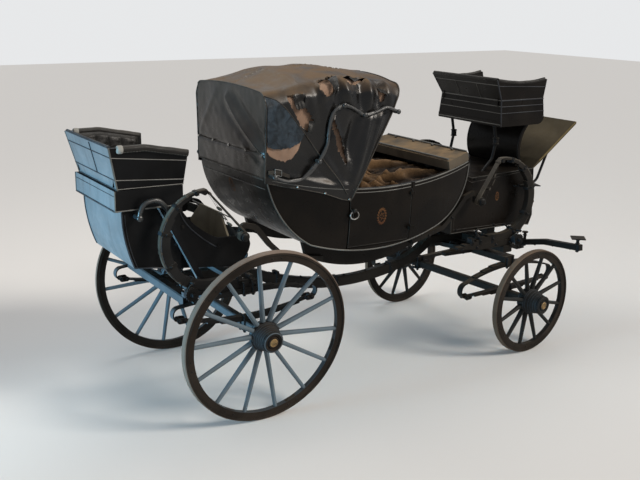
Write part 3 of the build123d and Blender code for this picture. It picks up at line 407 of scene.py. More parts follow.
# Its tan worn colour is partly the leather's own tan and partly painted light on the fold tops; the dark base shows as
# painted shade in the hollows.
CRUMPLED_LEATHER = OldLeather(
    "crumpled_leather", (0.0120, 0.0066, 0.0036), (0.21, 0.122, 0.057), (0.06, 0.04, 0.025), 0.06, (0.36, 0.55), 60.0,
    0.0012, (6.0, 0.25, 0.55), shine=0.1, crest=True,
)
BUTTONED_LEATHER = OldLeather(
    "buttoned_leather", (0.005, 0.0046, 0.004), (0.0125, 0.0112, 0.0098), (0.045, 0.040, 0.033), 0.35,
    (0.26, 0.44), 120.0,
)
ROLL_LEATHER = OldLeather(
    "roll_leather", (0.007, 0.0062, 0.0054), (0.022, 0.0195, 0.0165), (0.075, 0.068, 0.057), 0.5, (0.3, 0.5), 150.0
)
HOOD_BACK_LEATHER = OldLeather(
    "hood_back_leather", (0.0140, 0.0102, 0.0074), (0.0270, 0.0205, 0.0150), (0.055, 0.045, 0.034), 0.4,
    (0.26, 0.38), 70.0, 0.0004, shine=0.42,
)
FLAP_LEATHER = OldLeather(
    "flap_leather", (0.0085, 0.0125, 0.0165), (0.034, 0.049, 0.064), (0.05, 0.06, 0.07), 0.3, (0.4, 0.6), 70.0, 0.0015,
    (16.0, 0.38, 0.66),
)
PIPING_LEATHER = OldLeather(
    "piping_leather", (0.018, 0.0155, 0.013), (0.062, 0.052, 0.042), (0.11, 0.095, 0.075), 0.4, (0.35, 0.55), 160.0
)
LINING_CLOTH = OldLeather(
    "lining_cloth", (0.19, 0.118, 0.080), (0.33, 0.22, 0.155), (0.32, 0.23, 0.17), 0.3, (0.8, 0.95), 220.0, 0.0012
)
WORN_LINE = OldPaint(
    "worn_line", (0.038, 0.037, 0.034), (0.115, 0.112, 0.10), (0.16, 0.155, 0.135), 0.4, (0.20, 0.16, 0.10), 0.1,
    (0.32, 0.5), 0.0003, shine=0.4,
)
RUBBED_LINE = OldPaint("rubbed_line", (0.012, 0.0115, 0.0105), (0.038, 0.036, 0.032), gloss=(0.35, 0.5))
SLATE_LINE = OldPaint("slate_line", (0.022, 0.024, 0.028), (0.046, 0.051, 0.058), gloss=(0.4, 0.6))
PALE_TRIM = OldPaint("pale_trim", (0.20, 0.20, 0.185), (0.32, 0.31, 0.28), gloss=(0.5, 0.7))
WORN_GILT = OldPaint(
    "worn_gilt", (0.085, 0.062, 0.024), (0.19, 0.145, 0.06), (0.2, 0.17, 0.11), 0.3, (0.03, 0.024, 0.016), 0.14,
    (0.4, 0.6), 0.0004,
)
ORNAMENT = OldPaint(
    "ornament", (0.075, 0.030, 0.014), (0.13, 0.065, 0.024), chips=(0.010, 0.009, 0.008), chipping=0.22,
    gloss=(0.4, 0.6),
)
BRIGHT_EDGE = RubbedMetal("bright_edge", (0.42, 0.41, 0.39), (0.12, 0.115, 0.10), 0.9, (0.25, 0.42))
BRASS = RubbedMetal("old_brass", (0.36, 0.24, 0.11), (0.12, 0.085, 0.045), 0.9, (0.35, 0.6))
FINISHES = (
    BODY_PAINT, HIND_PAINT, HIND_GEAR, GEAR_PAINT, WHEEL_PAINT, NAVE_PAINT, TYRE_BAND, BOARD_PAINT, FRONT_BOARD,
    TOE_BOARD, IRON, HOOD_IRON, HOOD_LEATHER, STRAP_LEATHER, SEAT_LEATHER, BUTTONED_LEATHER, BRIGHT_EDGE, BRASS,
    HOOD_BACK_LEATHER, FLAP_LEATHER, PIPING_LEATHER, LINING_CLOTH, WORN_LINE, RUBBED_LINE, ROLL_LEATHER, SLATE_LINE,
    PALE_TRIM, WORN_GILT, ORNAMENT, CRUMPLED_LEATHER,
)
FINISH_OF_NODE = {
    "hind_paint": "hind_boot foot_well rumble_seat hind_standards",
    "body_paint": "body_shell door_right door_left rockers front_boot box_seat box_riser",
    "hind_gear": "rear_axle rear_springs_lower rear_springs_upper rear_c_springs hind_beams hind_side_irons",
    "gear_paint": "fore_axle fore_springs_lower fore_springs_upper front_c_springs perch front_side_irons "
    "fore_bed_upper fore_bed_lower futchells splinter_bar boot_standards body_loops",
    "board_paint": "footboard seat_boxes",
    "front_board_paint": "front_board",
    "toe_board": "toe_board",
    "iron": "rear_spring_shackles fore_spring_shackles brace_jacks box_stays footboard_irons rumble_stays boot_steps",
    "hood_iron": "hood_irons",
    "hood_leather": "hood",
    "strap_leather": "rear_braces front_braces",
    "seat_leather": "seat_cushions crumpled_cover",
    "buttoned_leather": "rumble_cushions box_cushions",
}


@dataclass
class Wardrobe:
    """All finishes, made once, and which CAD node wears which."""

    materials: dict[str, bpy.types.Material] = field(default_factory=dict)

    def make_all(self) -> None:
        """Makes every finish."""
        for finish in FINISHES:
            self.materials[finish.name] = finish.make()

    def dress_nodes(self) -> None:
        """Gives each CAD node its finish, and each wheel and tyre one drawn round its own hub."""
        for name, nodes in FINISH_OF_NODE.items():
            for node in nodes.split():
                self.wear(node, self.materials[name])
        for joint in frame["joints"]:
            wheel, _, motion = joint["name"].rpartition("_")
            if motion != "turn":
                continue
            hub = tuple(joint["pos_m"])
            reach, spokes, tread = SPOKES[wheel.partition("_")[0]]
            paint = replace(WHEEL_PAINT, name=f"{wheel}_paint", hub=hub, spokes=spokes, reach=reach)
            band = replace(TYRE_BAND, name=f"{wheel}_band", hub=hub, tread=tread)
            self.wear(wheel, paint.make())
            self.wear(wheel.replace("wheel", "tyre"), band.make())

    @staticmethod
    def wear(node: str, material: bpy.types.Material) -> None:
        """Puts a material on a CAD node."""
        mesh = NODES[node].data
        mesh.materials.clear()
        mesh.materials.append(material)


# Modelling tools and where things lie


class Side(Enum):
    """The carriage's two sides, with the sign of their Y."""

    RIGHT = -1
    LEFT = 1

    @property
    def word(self) -> str:
        """The side's name in lower case."""
        return self.name.lower()

    @property
    def out(self) -> Vector:
        """Unit direction away from the carriage."""
        return Vector((0.0, self.value, 0.0))

    @property
    def inward(self) -> Vector:
        """Unit direction towards the carriage."""
        return Vector((0.0, -self.value, 0.0))

    def at(self, x: float, half: float, z: float) -> Vector:
        """A place on this side, half metres off the middle plane."""
        return at(x, self.value * half, z)


def between(table: Sequence[Flat], place: float) -> float:
    """Reads a table of (place, value) rows with straight runs between them.

    Args:
        table: Rows in rising order of place.
        place: Where to read it.

    Returns:
        The value there, held at the ends.
    """
    if place <= table[0][0]:
        return table[0][1]
    for (start, low), (end, high) in zip(table, table[1:]):
        if place <= end:
            return low + (high - low) * (place - start) / (end - start)
    return table[-1][1]


def steps(low: float, high: float, count: int) -> list[float]:
    """Evenly spaced numbers, both ends included."""
    return [low + (high - low) * step / count for step in range(count + 1)]


def held(value: float, low: float = 0.0, high: float = 1.0) -> float:
    """The value, held between two limits."""
    return max(low, min(high, value))


def wander(x: float, y: float, z: float, scale: float, seed: float = 0.0) -> float:
    """Smooth noise from -1 to 1, the same in every run."""
    return noise.noise(Vector((x * scale + seed, y * scale - seed, z * scale + 2.0 * seed)))


def ridge(x: float, y: float, line: tuple[float, float, float, float], width: float) -> float:
    """Height of a long fold, 1 on its line and fading to both sides.

    Args:
        x: First flat coordinate.
        y: Second flat coordinate.
        line: The fold's two ends, x, y, x, y.
        width: Distance in which it fades.

    Returns:
        From 0 to 1.
    """
    start, end, point = Vector(line[:2]), Vector(line[2:]), Vector((x, y))
    run = end - start
    share = held((point - start).dot(run) / run.length_squared)
    away = (point - start - run * share).length
    return math.exp(-((away / width) ** 2)) * (0.35 + 0.65 * math.sin(math.pi * (0.12 + 0.76 * share)))


class Bench:
    """Blender's modelling tools, each used with everything else deselected."""

    @staticmethod
    def clear() -> None:
        """Leaves edit mode and deselects everything."""
        if bpy.context.object is not None and bpy.context.object.mode != "OBJECT":
            bpy.ops.object.mode_set(mode="OBJECT")
        bpy.ops.object.select_all(action="DESELECT")

    @classmethod
    def grab(cls, *things: Thing) -> Thing:
        """Selects these objects alone, the first one active."""
        cls.clear()
        for thing in things:
            thing.select_set(True)
        bpy.context.view_layer.objects.active = things[0]
        return things[0]

    @classmethod
    def settle(cls, thing: Thing) -> Thing:
        """Moves the object's place, turn and size into its mesh."""
        cls.grab(thing)
        bpy.ops.object.transform_apply(location=True, rotation=True, scale=True)
        return thing

    @classmethod
    def put(cls, thing: Thing, matrix: Matrix) -> Thing:
        """Carries a shape made at the origin to its place."""
        thing.matrix_world = matrix
        return cls.settle(thing)

    @classmethod
    def copy(cls, thing: Thing, matrix: Matrix) -> Thing:
        """A copy with its own mesh, put elsewhere."""
        cls.grab(thing)
        bpy.ops.object.duplicate(linked=False)
        return cls.put(bpy.context.object, matrix)

    @classmethod
    def join(cls, things: Sequence[Thing]) -> Thing:
        """Joins objects into the first."""
        cls.grab(*things)
        if len(things) > 1:
            bpy.ops.object.join()
        return bpy.context.object

    @classmethod
    def drop(cls, thing: Thing) -> None:
        """Deletes a pattern shape once it has been copied."""
        cls.grab(thing)
        bpy.ops.object.delete()

    @classmethod
    def shape(cls, thing: Thing, kind: str, **settings: float | int | bool | str) -> Thing:
        """Adds a modifier and applies it.

        Args:
            thing: The object.
            kind: The modifier's type.
            **settings: Its settings.

        Returns:
            The same object.
        """
        modifier = thing.modifiers.new(kind.lower(), kind)
        for name, value in settings.items():
            setattr(modifier, name, value)
        cls.grab(thing)
        bpy.ops.object.modifier_apply(modifier=modifier.name)
        return thing

    @classmethod
    def outward(cls, thing: Thing) -> Thing:
        """Merges doubles and turns the faces outward."""
        cls.grab(thing)
        bpy.ops.object.mode_set(mode="EDIT")
        bpy.ops.mesh.select_all(action="SELECT")
        bpy.ops.mesh.remove_doubles(threshold=0.00002)
        bpy.ops.mesh.normals_make_consistent(inside=False)
        bpy.ops.object.mode_set(mode="OBJECT")
        return thing

    @classmethod
    def turned(cls, profile: Sequence[Flat], sides: int = 28) -> Thing:
        """A turned shape about Z: a disc that is extruded and resized ring by ring.

        Args:
            profile: (radius, height) of each ring, from the bottom up.
            sides: Faces round it.

        Returns:
            The closed object, at the origin.
        """
        cls.clear()
        radius, height = profile[0]
        bpy.ops.mesh.primitive_circle_add(vertices=sides, radius=radius, fill_type="NGON", location=(0.0, 0.0, height))
        thing = cls.settle(bpy.context.object)
        bpy.ops.object.mode_set(mode="EDIT")
        bpy.ops.mesh.select_all(action="SELECT")
        for next_radius, next_height in profile[1:]:
            bpy.ops.mesh.extrude_region_move(TRANSFORM_OT_translate={"value": (0.0, 0.0, next_height - height)})
            size = next_radius / radius
            bpy.ops.transform.resize(value=(size, size, 1.0), center_override=(0.0, 0.0, 0.0))
            radius, height = next_radius, next_height
        bpy.ops.object.mode_set(mode="OBJECT")
        return cls.outward(thing)

    @classmethod
    def bead(
        cls, points: Sequence[Vector], radius: float, flowing: bool = False, closed: bool = False, sides: int = 2
    ) -> Thing:
        """A rod or moulding along points.

        Args:
            points: Where its middle runs.
            radius: Its radius.
            flowing: Whether it bends smoothly through the points.
            closed: Whether its ends meet.
            sides: Fineness of its round.

        Returns:
            The rod as a mesh.
        """
        cls.clear()
        bpy.ops.curve.primitive_nurbs_path_add(location=(0.0, 0.0, 0.0))
        thing = bpy.context.object
        curve = thing.data
        curve.splines.clear()
        if flowing:
            spline = curve.splines.new("BEZIER")
            spline.bezier_points.add(len(points) - 1)
            for knot, point in zip(spline.bezier_points, points):
                knot.co = point
                knot.handle_left_type = "AUTO"
                knot.handle_right_type = "AUTO"
            curve.resolution_u = 6
        else:
            spline = curve.splines.new("POLY")
            spline.points.add(len(points) - 1)
            for knot, point in zip(spline.points, points):
                knot.co = (*point, 1.0)
        spline.use_cyclic_u = closed
        curve.dimensions = "3D"
        curve.bevel_depth = radius
        curve.bevel_resolution = sides
        curve.use_fill_caps = not closed
        cls.grab(thing)
        bpy.ops.object.convert(target="MESH")
        return cls.outward(bpy.context.object)

    @classmethod
    def cloth(cls, across: int, along: int, place: Callable[[float, float], Vector], thick: float = 0.0) -> Thing:
        """A sheet: a grid whose points are laid out by a rule.

        Args:
            across: Cells in the first direction.
            along: Cells in the second direction.
            place: Gives a point of the sheet from its two shares, 0 to 1.
            thick: Thickness given inward, or none.

        Returns:
            The sheet.
        """
        cls.clear()
        bpy.ops.mesh.primitive_grid_add(x_subdivisions=across, y_subdivisions=along, size=1.0, location=(0.0, 0.0, 0.0))
        thing = bpy.context.object
        for vertex in thing.data.vertices:
            vertex.co = place(vertex.co.x + 0.5, vertex.co.y + 0.5)
        if thick:
            cls.shape(thing, "SOLIDIFY", thickness=thick, offset=-1.0)
        return thing

    @classmethod
    def block(cls, size: Point, round_edge: float) -> Thing:
        """A box about the origin with bevelled edges."""
        cls.clear()
        bpy.ops.mesh.primitive_cube_add(size=1.0, location=(0.0, 0.0, 0.0))
        thing = bpy.context.object
        thing.scale = size
        cls.settle(thing)
        return cls.shape(thing, "BEVEL", width=round_edge, segments=2)

    @classmethod
    def ring(cls, radius: float, thick: float, height: float, sides: int = 72) -> Thing:
        """A round ring about Z at a height."""
        cls.clear()
        bpy.ops.mesh.primitive_torus_add(
            major_segments=sides, minor_segments=8, major_radius=radius, minor_radius=thick, location=(0.0, 0.0, height)
        )
        return cls.settle(bpy.context.object)

    @classmethod
    def plate(cls, corners: Sequence[Vector], thick: Vector | Point, round_edge: float = 0.0) -> Thing:
        """A flat plate: a face through the corners, extruded.

        Args:
            corners: The outline of one face.
            thick: Which way and how far it is extruded.
            round_edge: Width of the bevel on its edges, or none.

        Returns:
            The plate.
        """
        cls.clear()
        bpy.ops.mesh.primitive_circle_add(vertices=len(corners), radius=1.0, fill_type="NGON", location=(0.0, 0.0, 0.0))
        thing = bpy.context.object
        for vertex, corner in zip(thing.data.vertices, corners):
            vertex.co = corner
        bpy.ops.object.mode_set(mode="EDIT")
        bpy.ops.mesh.select_all(action="SELECT")
        bpy.ops.mesh.extrude_region_move(TRANSFORM_OT_translate={"value": tuple(thick)})
        bpy.ops.object.mode_set(mode="OBJECT")
        if round_edge:
            cls.shape(thing, "BEVEL", width=round_edge, segments=2)
        return cls.outward(thing)

    @classmethod
    def strap(cls, run: Sequence[Vector], across: Vector, width: float, thick: float = 0.003) -> Thing:
        """A flat strap along points, its width lying along one direction."""
        half = across.normalized() * width / 2.0

        def place(share: float, side: float) -> Vector:
            """Point of the strap's middle surface."""
            step = share * (len(run) - 1)
            index = min(int(step), len(run) - 2)
            return run[index].lerp(run[index + 1], step - index) + half * (2.0 * side - 1.0)

        thing = cls.cloth(max(4, 4 * (len(run) - 1)), 2, place)
        cls.shape(thing, "SOLIDIFY", thickness=thick, offset=0.0)
        return thing


@dataclass(frozen=True)
class Finished:
    """How a piece is signed off: its finish, what carries it and how smooth it is shaded."""

    finish: str
    body: str = "carriage"
    slot: str = "iron"
    crease: float = 35.0


@dataclass
class Workshop:
    """Holds the materials and hands each finished piece to the body that carries it."""

    materials: dict[str, bpy.types.Material]
    trees: dict[str, BVHTree] = field(default_factory=dict)

    def sign_off(self, parts: Thing | list[Thing], name: str, how: Finished) -> Thing:
        """Names, smooths and dresses a piece, and hands it to its body.

        Args:
            parts: The finished shape, or the shapes to join into it.
            name: The piece's name.
            how: Finish, body, slot and crease angle.

        Returns:
            The piece.
        """
        thing = Bench.settle(Bench.join(parts) if isinstance(parts, list) else parts)
        thing.name = name
        thing.data.name = name
        thing.data.materials.clear()
        thing.data.materials.append(self.materials[how.finish])
        bpy.ops.object.shade_smooth_by_angle(angle=math.radians(how.crease))
        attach(thing, how.body)
        log.info("made %s: %d faces", name, len(thing.data.polygons))
        return thing

    def tree(self, node: str) -> BVHTree:
        """Search tree of a CAD node's faces."""
        if node not in self.trees:
            mesh = NODES[node].data
            self.trees[node] = BVHTree.FromPolygons(
                [vertex.co for vertex in mesh.vertices], [face.vertices for face in mesh.polygons]
            )
        return self.trees[node]

    def reach(self, start: Vector, aim: Vector, nodes: Sequence[str]) -> Vector | None:
        """First point met on some nodes from a start along an aim."""
        best, nearest = None, math.inf
        for node in nodes:
            place, _, _, distance = self.tree(node).ray_cast(start, aim)
            if place is not None and distance < nearest:
                best, nearest = place, distance
        return best

    def from_side(self, side: Side, x: float, z: float, nodes: Sequence[str]) -> Vector | None:
        """First point met on some nodes by a level ray that comes in from one side."""
        return self.reach(side.at(x, BESIDE, z), side.inward, nodes)

    def on_side(self, side: Side, x: float, z: float, nodes: Sequence[str]) -> Vector:
        """The point of the carriage's side at x forward of the hind axle and height z."""
        found = self.from_side(side, x, z, nodes)
        if found is None:
            raise ValueError(f"nothing of {nodes} at {x:.3f}, {z:.3f}")
        return found

    def line_on_side(self, side: Side, line: Iterable[Flat], nodes: Sequence[str], proud: float) -> list[Vector]:
        """A line of (x, z) places laid proud of the carriage's side, without the places that miss it."""
        places = [self.from_side(side, x, z, nodes) for x, z in line]
        return [place + side.out * proud for place in places if place is not None]

    def stud(self, head: Thing, places: Iterable[tuple[Vector, Vector]], name: str, how: Finished) -> None:
        """Copies a bolt head to each place, facing out, drops the head and signs the copies off as one.

        Args:
            head: The pattern, which stands on the origin.
            places: Where each copy stands and where it faces.
            name: The piece's name.
            how: Finish, body, slot and crease angle.
        """
        copies = [Bench.copy(head, framed(place, out)) for place, out in places]
        Bench.drop(head)
        self.sign_off(copies, name, how)

    def padded_wall(self, place: Callable[[float, float, float], Vector], name: str, bulges: tuple[int, int]) -> None:
        """A quilted pad: a sheet with rows of bulges in front of a tub wall.

        Args:
            place: Gives a point from two shares and the depth off the wall.
            name: The piece's name.
            bulges: Number of bulges along and up.
        """

        def quilt(u: float, v: float) -> Vector:
            """Point of the pad's face."""
            shift = 0.5 if int(v * bulges[1]) % 2 else 0.0
            wave = abs(math.sin(math.pi * (u * bulges[0] + shift))) ** 0.6
            wave *= abs(math.sin(math.pi * v * bulges[1])) ** 0.5
            edge = min(1.0, 12.0 * min(u, 1.0 - u, v, 1.0 - v) + 0.15)
            return place(u, v, 0.002 + edge * (0.020 + 0.009 * wave + 0.003 * wander(u, v, 0.0, 9.0)))

        thing = Bench.cloth(10 * bulges[0], 12 * bulges[1], quilt, 0.0015)
        self.sign_off(thing, name, Finished("buttoned_leather", slot="black_leather", crease=70.0))


def framed(place: Vector, out: Vector, ahead: Vector | None = None) -> Matrix:
    """A turn and a shift that carry Z to a direction and the origin to a place.

    Args:
        place: Where the origin goes.
        out: Where Z points.
        ahead: Roughly where X points.

    Returns:
        The matrix.
    """
    third = out.normalized()
    first = (ahead or Vector((1.0, 0.0, 0.001))).copy()
    first = (first - third * first.dot(third)).normalized()
    second = third.cross(first)
    turn = Matrix((first, second, third)).transposed()
    return Matrix.Translation(place) @ turn.to_4x4()


# Body


BODY_EDGE = (
    (0.158, 1.591), (0.247, 1.332), (0.490, 1.090), (1.050, 1.000), (1.620, 1.110), (1.850, 1.310), (1.930, 1.570),
)
RAIL_EDGE = ((0.158, 1.591), (1.040, 1.464), (1.930, 1.570))


def arc_through(first: Flat, middle: Flat, last: Flat, count: int) -> list[Flat]:
    """Points of the circle's arc through three places.

    Args:
        first: Start.
        middle: A place between.
        last: End.
        count: Number of steps.

    Returns:
        count + 1 points.
    """
    (ax, ay), (bx, by), (cx, cy) = first, middle, last
    twice = 2.0 * (ax * (by - cy) + bx * (cy - ay) + cx * (ay - by))
    a2, b2, c2 = ax * ax + ay * ay, bx * bx + by * by, cx * cx + cy * cy
    ux = (a2 * (by - cy) + b2 * (cy - ay) + c2 * (ay - by)) / twice
    uy = (a2 * (cx - bx) + b2 * (ax - cx) + c2 * (bx - ax)) / twice
    radius = math.hypot(ax - ux, ay - uy)
    start, mid, end = (math.atan2(y - uy, x - ux) for x, y in (first, middle, last))
    mid = start + (mid - start + math.pi) % math.tau - math.pi
    end = mid + (end - mid + math.pi) % math.tau - math.pi
    return [(ux + radius * math.cos(angle), uy + radius * math.sin(angle)) for angle in steps(start, end, count)]


BODY_LINE = Finished("worn_line", slot="body_paint", crease=60.0)
IRONWORK = Finished("iron", slot="iron")
SLATE = Finished("slate_line", slot="body_paint")
ROLLED = Finished("roll_leather", slot="black_leather", crease=70.0)
PIPED = Finished("piping_leather", slot="hood_leather", crease=60.0)


@dataclass
class BodyTrim:
    """Beads, shut lines and fittings of the boat body and its doors."""

    shop: Workshop
    door_rear: float = 0.7835
    door_front: float = 1.316
    bead_radius: float = 0.0055

    def build(self) -> None:
        """Builds the trim on both sides."""
        for side in Side:
            self.add_edge_bead(side)
            self.add_rail_beads(side)
            self.add_shut_lines(side)
            self.add_door_ornament(side)
            self.add_boot_ornament(side)
        self.add_end_beads()
        self.add_board_trim()
        self.add_back_ornament()

    @staticmethod
    def outline_points() -> list[Flat]:
        """The body's outline in side view, from the rear corner down and forward."""
        points = arc_through(*BODY_EDGE[0:3], 22) + arc_through(*BODY_EDGE[2:5], 44)[1:]
        return points + arc_through(*BODY_EDGE[4:7], 22)[1:]

    @staticmethod
    def inward(points: Sequence[Flat], depth: float) -> list[Flat]:
        """The line moved towards the body's middle."""
        moved = []
        for (x, z), (next_x, next_z) in zip(points, list(points[1:]) + [points[-1]]):
            if (next_x, next_z) == (x, z):
                (next_x, next_z), (x0, z0) = points[-1], points[-2]
                run = Vector((next_x - x0, next_z - z0)).normalized()
            else:
                run = Vector((next_x - x, next_z - z)).normalized()
            moved.append((x - run.y * depth, z + run.x * depth))
        return moved

    def add_edge_bead(self, side: Side) -> None:
        """The bead round the side's outer edge."""
        line = self.inward(self.outline_points(), 0.007)
        points = self.shop.line_on_side(side, line, ("body_shell", "rockers"), 0.0015)
        self.shop.sign_off(Bench.bead(points, self.bead_radius), f"body_edge_bead_{side.word}", BODY_LINE)

    def add_rail_beads(self, side: Side) -> None:
        """Two beads under the rail, cut at the door's gaps so that the door's part moves with it."""
        rail = arc_through(*RAIL_EDGE, 90)
        stretches = (
            ("rear", "body_shell", "carriage", 0.168, self.door_rear - 0.011),
            ("door", f"door_{side.word}", f"door_{side.word}", self.door_rear + 0.003, self.door_front - 0.003),
            ("front", "body_shell", "carriage", self.door_front + 0.008, 1.922),
        )
        for label, node, body, start, end in stretches:
            beads = []
            for drop, radius in ((0.006, 0.0052), (0.030, 0.0034)):
                line = [(x, z - drop) for x, z in rail if start <= x <= end]
                points = self.shop.line_on_side(side, line, (node,), 0.001)
                beads.append(Bench.bead(points, radius))
            self.shop.sign_off(beads, f"rail_beads_{label}_{side.word}", replace(BODY_LINE, body=body))

    def add_shut_lines(self, side: Side) -> None:
        """Thin rubbed strips on the door's upright edges and sill, and the escutcheon behind its handle."""
        node, strips = f"door_{side.word}", []
        lines = [[(x, z) for z in steps(1.046, 1.428, 16)] for x in (self.door_rear + 0.004, self.door_front - 0.004)]
        lines.append([(x, 1.046) for x in steps(0.790, 1.310, 20)])
        for line in lines:
            strips.append(Bench.bead(self.shop.line_on_side(side, line, (node,), 0.0002), 0.0019, sides=1))
        plate = Bench.turned(((0.014, 0.0), (0.014, 0.0015), (0.010, 0.004), (0.006, 0.005)), 24)
        strips.append(Bench.put(plate, framed(self.shop.on_side(side, 0.807, 1.322, (node,)), side.out)))
        edges = Finished("rubbed_line", node, "body_paint", 60.0)
        self.shop.sign_off(strips, f"door_edges_{side.word}", edges)
        turns = [math.tau * step / 28 for step in range(28)]
        ring = [side.at(0.807 + 0.0340 * math.cos(turn), 0.6130, 1.287 + 0.0270 * math.sin(turn)) for turn in turns]
        thing = Bench.bead(ring, 0.0062, closed=True, sides=3)
        self.shop.sign_off(thing, f"door_ring_{side.word}", Finished("bright_edge", node, "body_paint"))

    def add_end_beads(self) -> None:
        """Two beads across the rear panel, under its top edge."""
        beads = []
        for drop in (0.010, 0.075):
            points = []
            for y in steps(-0.47, 0.47, 18):
                found = self.shop.reach(at(BEHIND, y, 1.585 - drop), FORWARD, ("body_shell",))
                if found is not None:
                    points.append(found + Vector((-0.001, 0.0, 0.0)))
            beads.append(Bench.bead(points, 0.0034))
        self.shop.sign_off(beads, "body_back_beads", BODY_LINE)

    def add_board_trim(self) -> None:
        """Edge mouldings and knobs of the board in front of the seats."""
        pieces = []
        for x, z, half in ((1.700, 1.597, 0.540), (1.905, 1.636, 0.500)):
            pieces.append(Bench.bead([at(x, y, z) for y in steps(-half, half, 12)], 0.0075))
        for y in (-0.36, -0.12, 0.12, 0.36):
            knob = Bench.turned(((0.010, 0.0), (0.012, 0.006), (0.008, 0.014), (0.003, 0.017)), 16)
            pieces.append(Bench.put(knob, framed(at(1.880, y, 1.627), UP)))
        trim = Finished("worn_line", slot="board_wood", crease=50.0)
        self.shop.sign_off(pieces, "front_board_trim", trim)

    def laurel(self, name: str, body: str, spot: Callable[[float, float], Vector], out: Vector, size: Point) -> None:
        """A worn painted ring of leaves round a rosette, laid on a surface.

        Args:
            name: The piece's name.
            body: What carries it.
            spot: Gives the surface's point at two flat distances from the ornament's middle.
            out: Unit direction off the surface.
            size: Half width, half height and leaf length.
        """
        wide, tall, leaf = size
        parts = []
        shape = ((-1.0, 0.0), (-0.4, 0.42), (0.45, 0.34), (1.0, 0.0), (0.45, -0.34), (-0.4, -0.42))
        rows = [(math.tau * step / 17, 1.0 - 0.16 * (step % 2), 0.5 - (step % 2), leaf) for step in range(34)]
        rows += [(math.tau * step / 7, 0.34, 1.57, leaf * 0.9) for step in range(7)]
        rows += [(math.tau * (step + 0.5) / 5, 0.62, 1.2, leaf * 0.6) for step in range(5)]
        for turn, reach, lean, length in rows:
            middle_x, middle_z = wide * reach * math.cos(turn), tall * reach * math.sin(turn)
            angle = turn + math.pi / 2.0 + lean
            corners = []
            for along, across in shape:
                dx = length * (along * math.cos(angle) - across * math.sin(angle))
                dz = length * (along * math.sin(angle) + across * math.cos(angle))
                corners.append(spot(middle_x + dx, middle_z + dz) + out * 0.0002)
            parts.append(Bench.plate(corners, out * 0.0005))
        self.shop.sign_off(parts, name, Finished("ornament", body, "body_paint"))

    def add_door_ornament(self, side: Side) -> None:
        """The ring of leaves on the door."""
        node = f"door_{side.word}"
        self.laurel(
            f"door_ornament_{side.word}", node, lambda x, z: self.shop.on_side(side, 1.053 + x, 1.250 + z, (node,)),
            side.out, (0.036, 0.058, 0.0095),
        )

    def add_boot_ornament(self, side: Side) -> None:
        """The smaller ring on the front boot."""
        self.laurel(
            f"boot_ornament_{side.word}", "carriage", lambda x, z: side.at(2.347 + x, 0.400, 1.22 + z),
            side.out, (0.017, 0.034, 0.0055),
        )

    def add_back_ornament(self) -> None:
        """The ring on the body's back."""

        def spot(y: float, z: float) -> Vector:
            """Point of the rear panel."""
            found = self.shop.reach(at(BEHIND, 0.055 + y, 1.45 + z), FORWARD, ("body_shell",))
            if found is None:
                raise ValueError("the rear ornament misses the body")
            return found

        self.laurel("back_ornament", "carriage", spot, BACKWARD, (0.036, 0.050, 0.009))


@dataclass
class Cushion:
    """A stuffed cushion: a rounded block that is inflated, then creased by use."""

    node: str
    name: str
    finish: str
    slot: str
    low: Point
    high: Point
    swell: float = 0.012
    pressure: float = 4.0
    frames: int = 12
    voxel: float = 0.009

    def build(self, shop: Workshop) -> None:
        """Makes the cushion inside its CAD solid's space."""
        low, high = Vector(self.low), Vector(self.high)
        size, middle = high - low, (low + high) / 2.0
        Bench.clear()
        bpy.ops.mesh.primitive_cube_add(size=1.0, location=tuple(REAR_AXLE + middle))
        thing = bpy.context.object
        thing.scale = (size.x - 0.02, size.y - 0.02, size.z - 0.016)
        Bench.settle(thing)
        Bench.shape(thing, "BEVEL", width=min(size.z * 0.36, 0.034), segments=4)
        Bench.shape(thing, "REMESH", mode="VOXEL", voxel_size=self.voxel)
        self.inflate(thing)
        self.wear(thing, low, high)
        Bench.shape(thing, "SUBSURF", levels=1, render_levels=1)
        shop.sign_off(thing, self.name, Finished(self.finish, slot=self.slot, crease=60.0))
        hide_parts(self.node)

    def inflate(self, thing: Thing) -> None:
        """Swells the cushion with cloth pressure and keeps each point near its start."""
        before = [vertex.co.copy() for vertex in thing.data.vertices]
        cloth = thing.modifiers.new("cloth", "CLOTH")
        cloth.settings.use_pressure = True
        cloth.settings.uniform_pressure_force = self.pressure
        cloth.settings.effector_weights.gravity = 0.0
        cloth.settings.quality = 4
        cloth.point_cache.frame_end = 20
        scene = bpy.context.scene
        for step in range(self.frames):
            scene.frame_set(step + 1)
        Bench.grab(thing)
        bpy.ops.object.modifier_apply(modifier=cloth.name)
        scene.frame_set(1)
        for vertex, start in zip(thing.data.vertices, before):
            move = vertex.co - start
            if move.length > self.swell:
                vertex.co = start + move.normalized() * self.swell

    @staticmethod
    def wear(thing: Thing, low: Vector, high: Vector) -> None:
        """Lowers the top most at its edges, wrinkles the cover and holds it inside its box."""
        size = high - low
        for vertex in thing.data.vertices:
            local = vertex.co - REAR_AXLE
            u, v = (local.x - low.x) / size.x, (local.y - low.y) / size.y
            w = (local.z - low.z) / size.z
            if w > 0.55:
                crown = math.sin(math.pi * held(u)) * math.sin(math.pi * held(v))
                local.z += 0.010 * crown - 0.006
                local.z += 0.005 * wander(local.x, local.y, 0.0, 9.0, 3.0) + 0.003 * wander(local.x, local.y, 0.5, 24.0)
            local.x = held(local.x, low.x, high.x)
            local.y = held(local.y, low.y, high.y)
            local.z = held(local.z, low.z, high.z + 0.008)
            vertex.co = local + REAR_AXLE


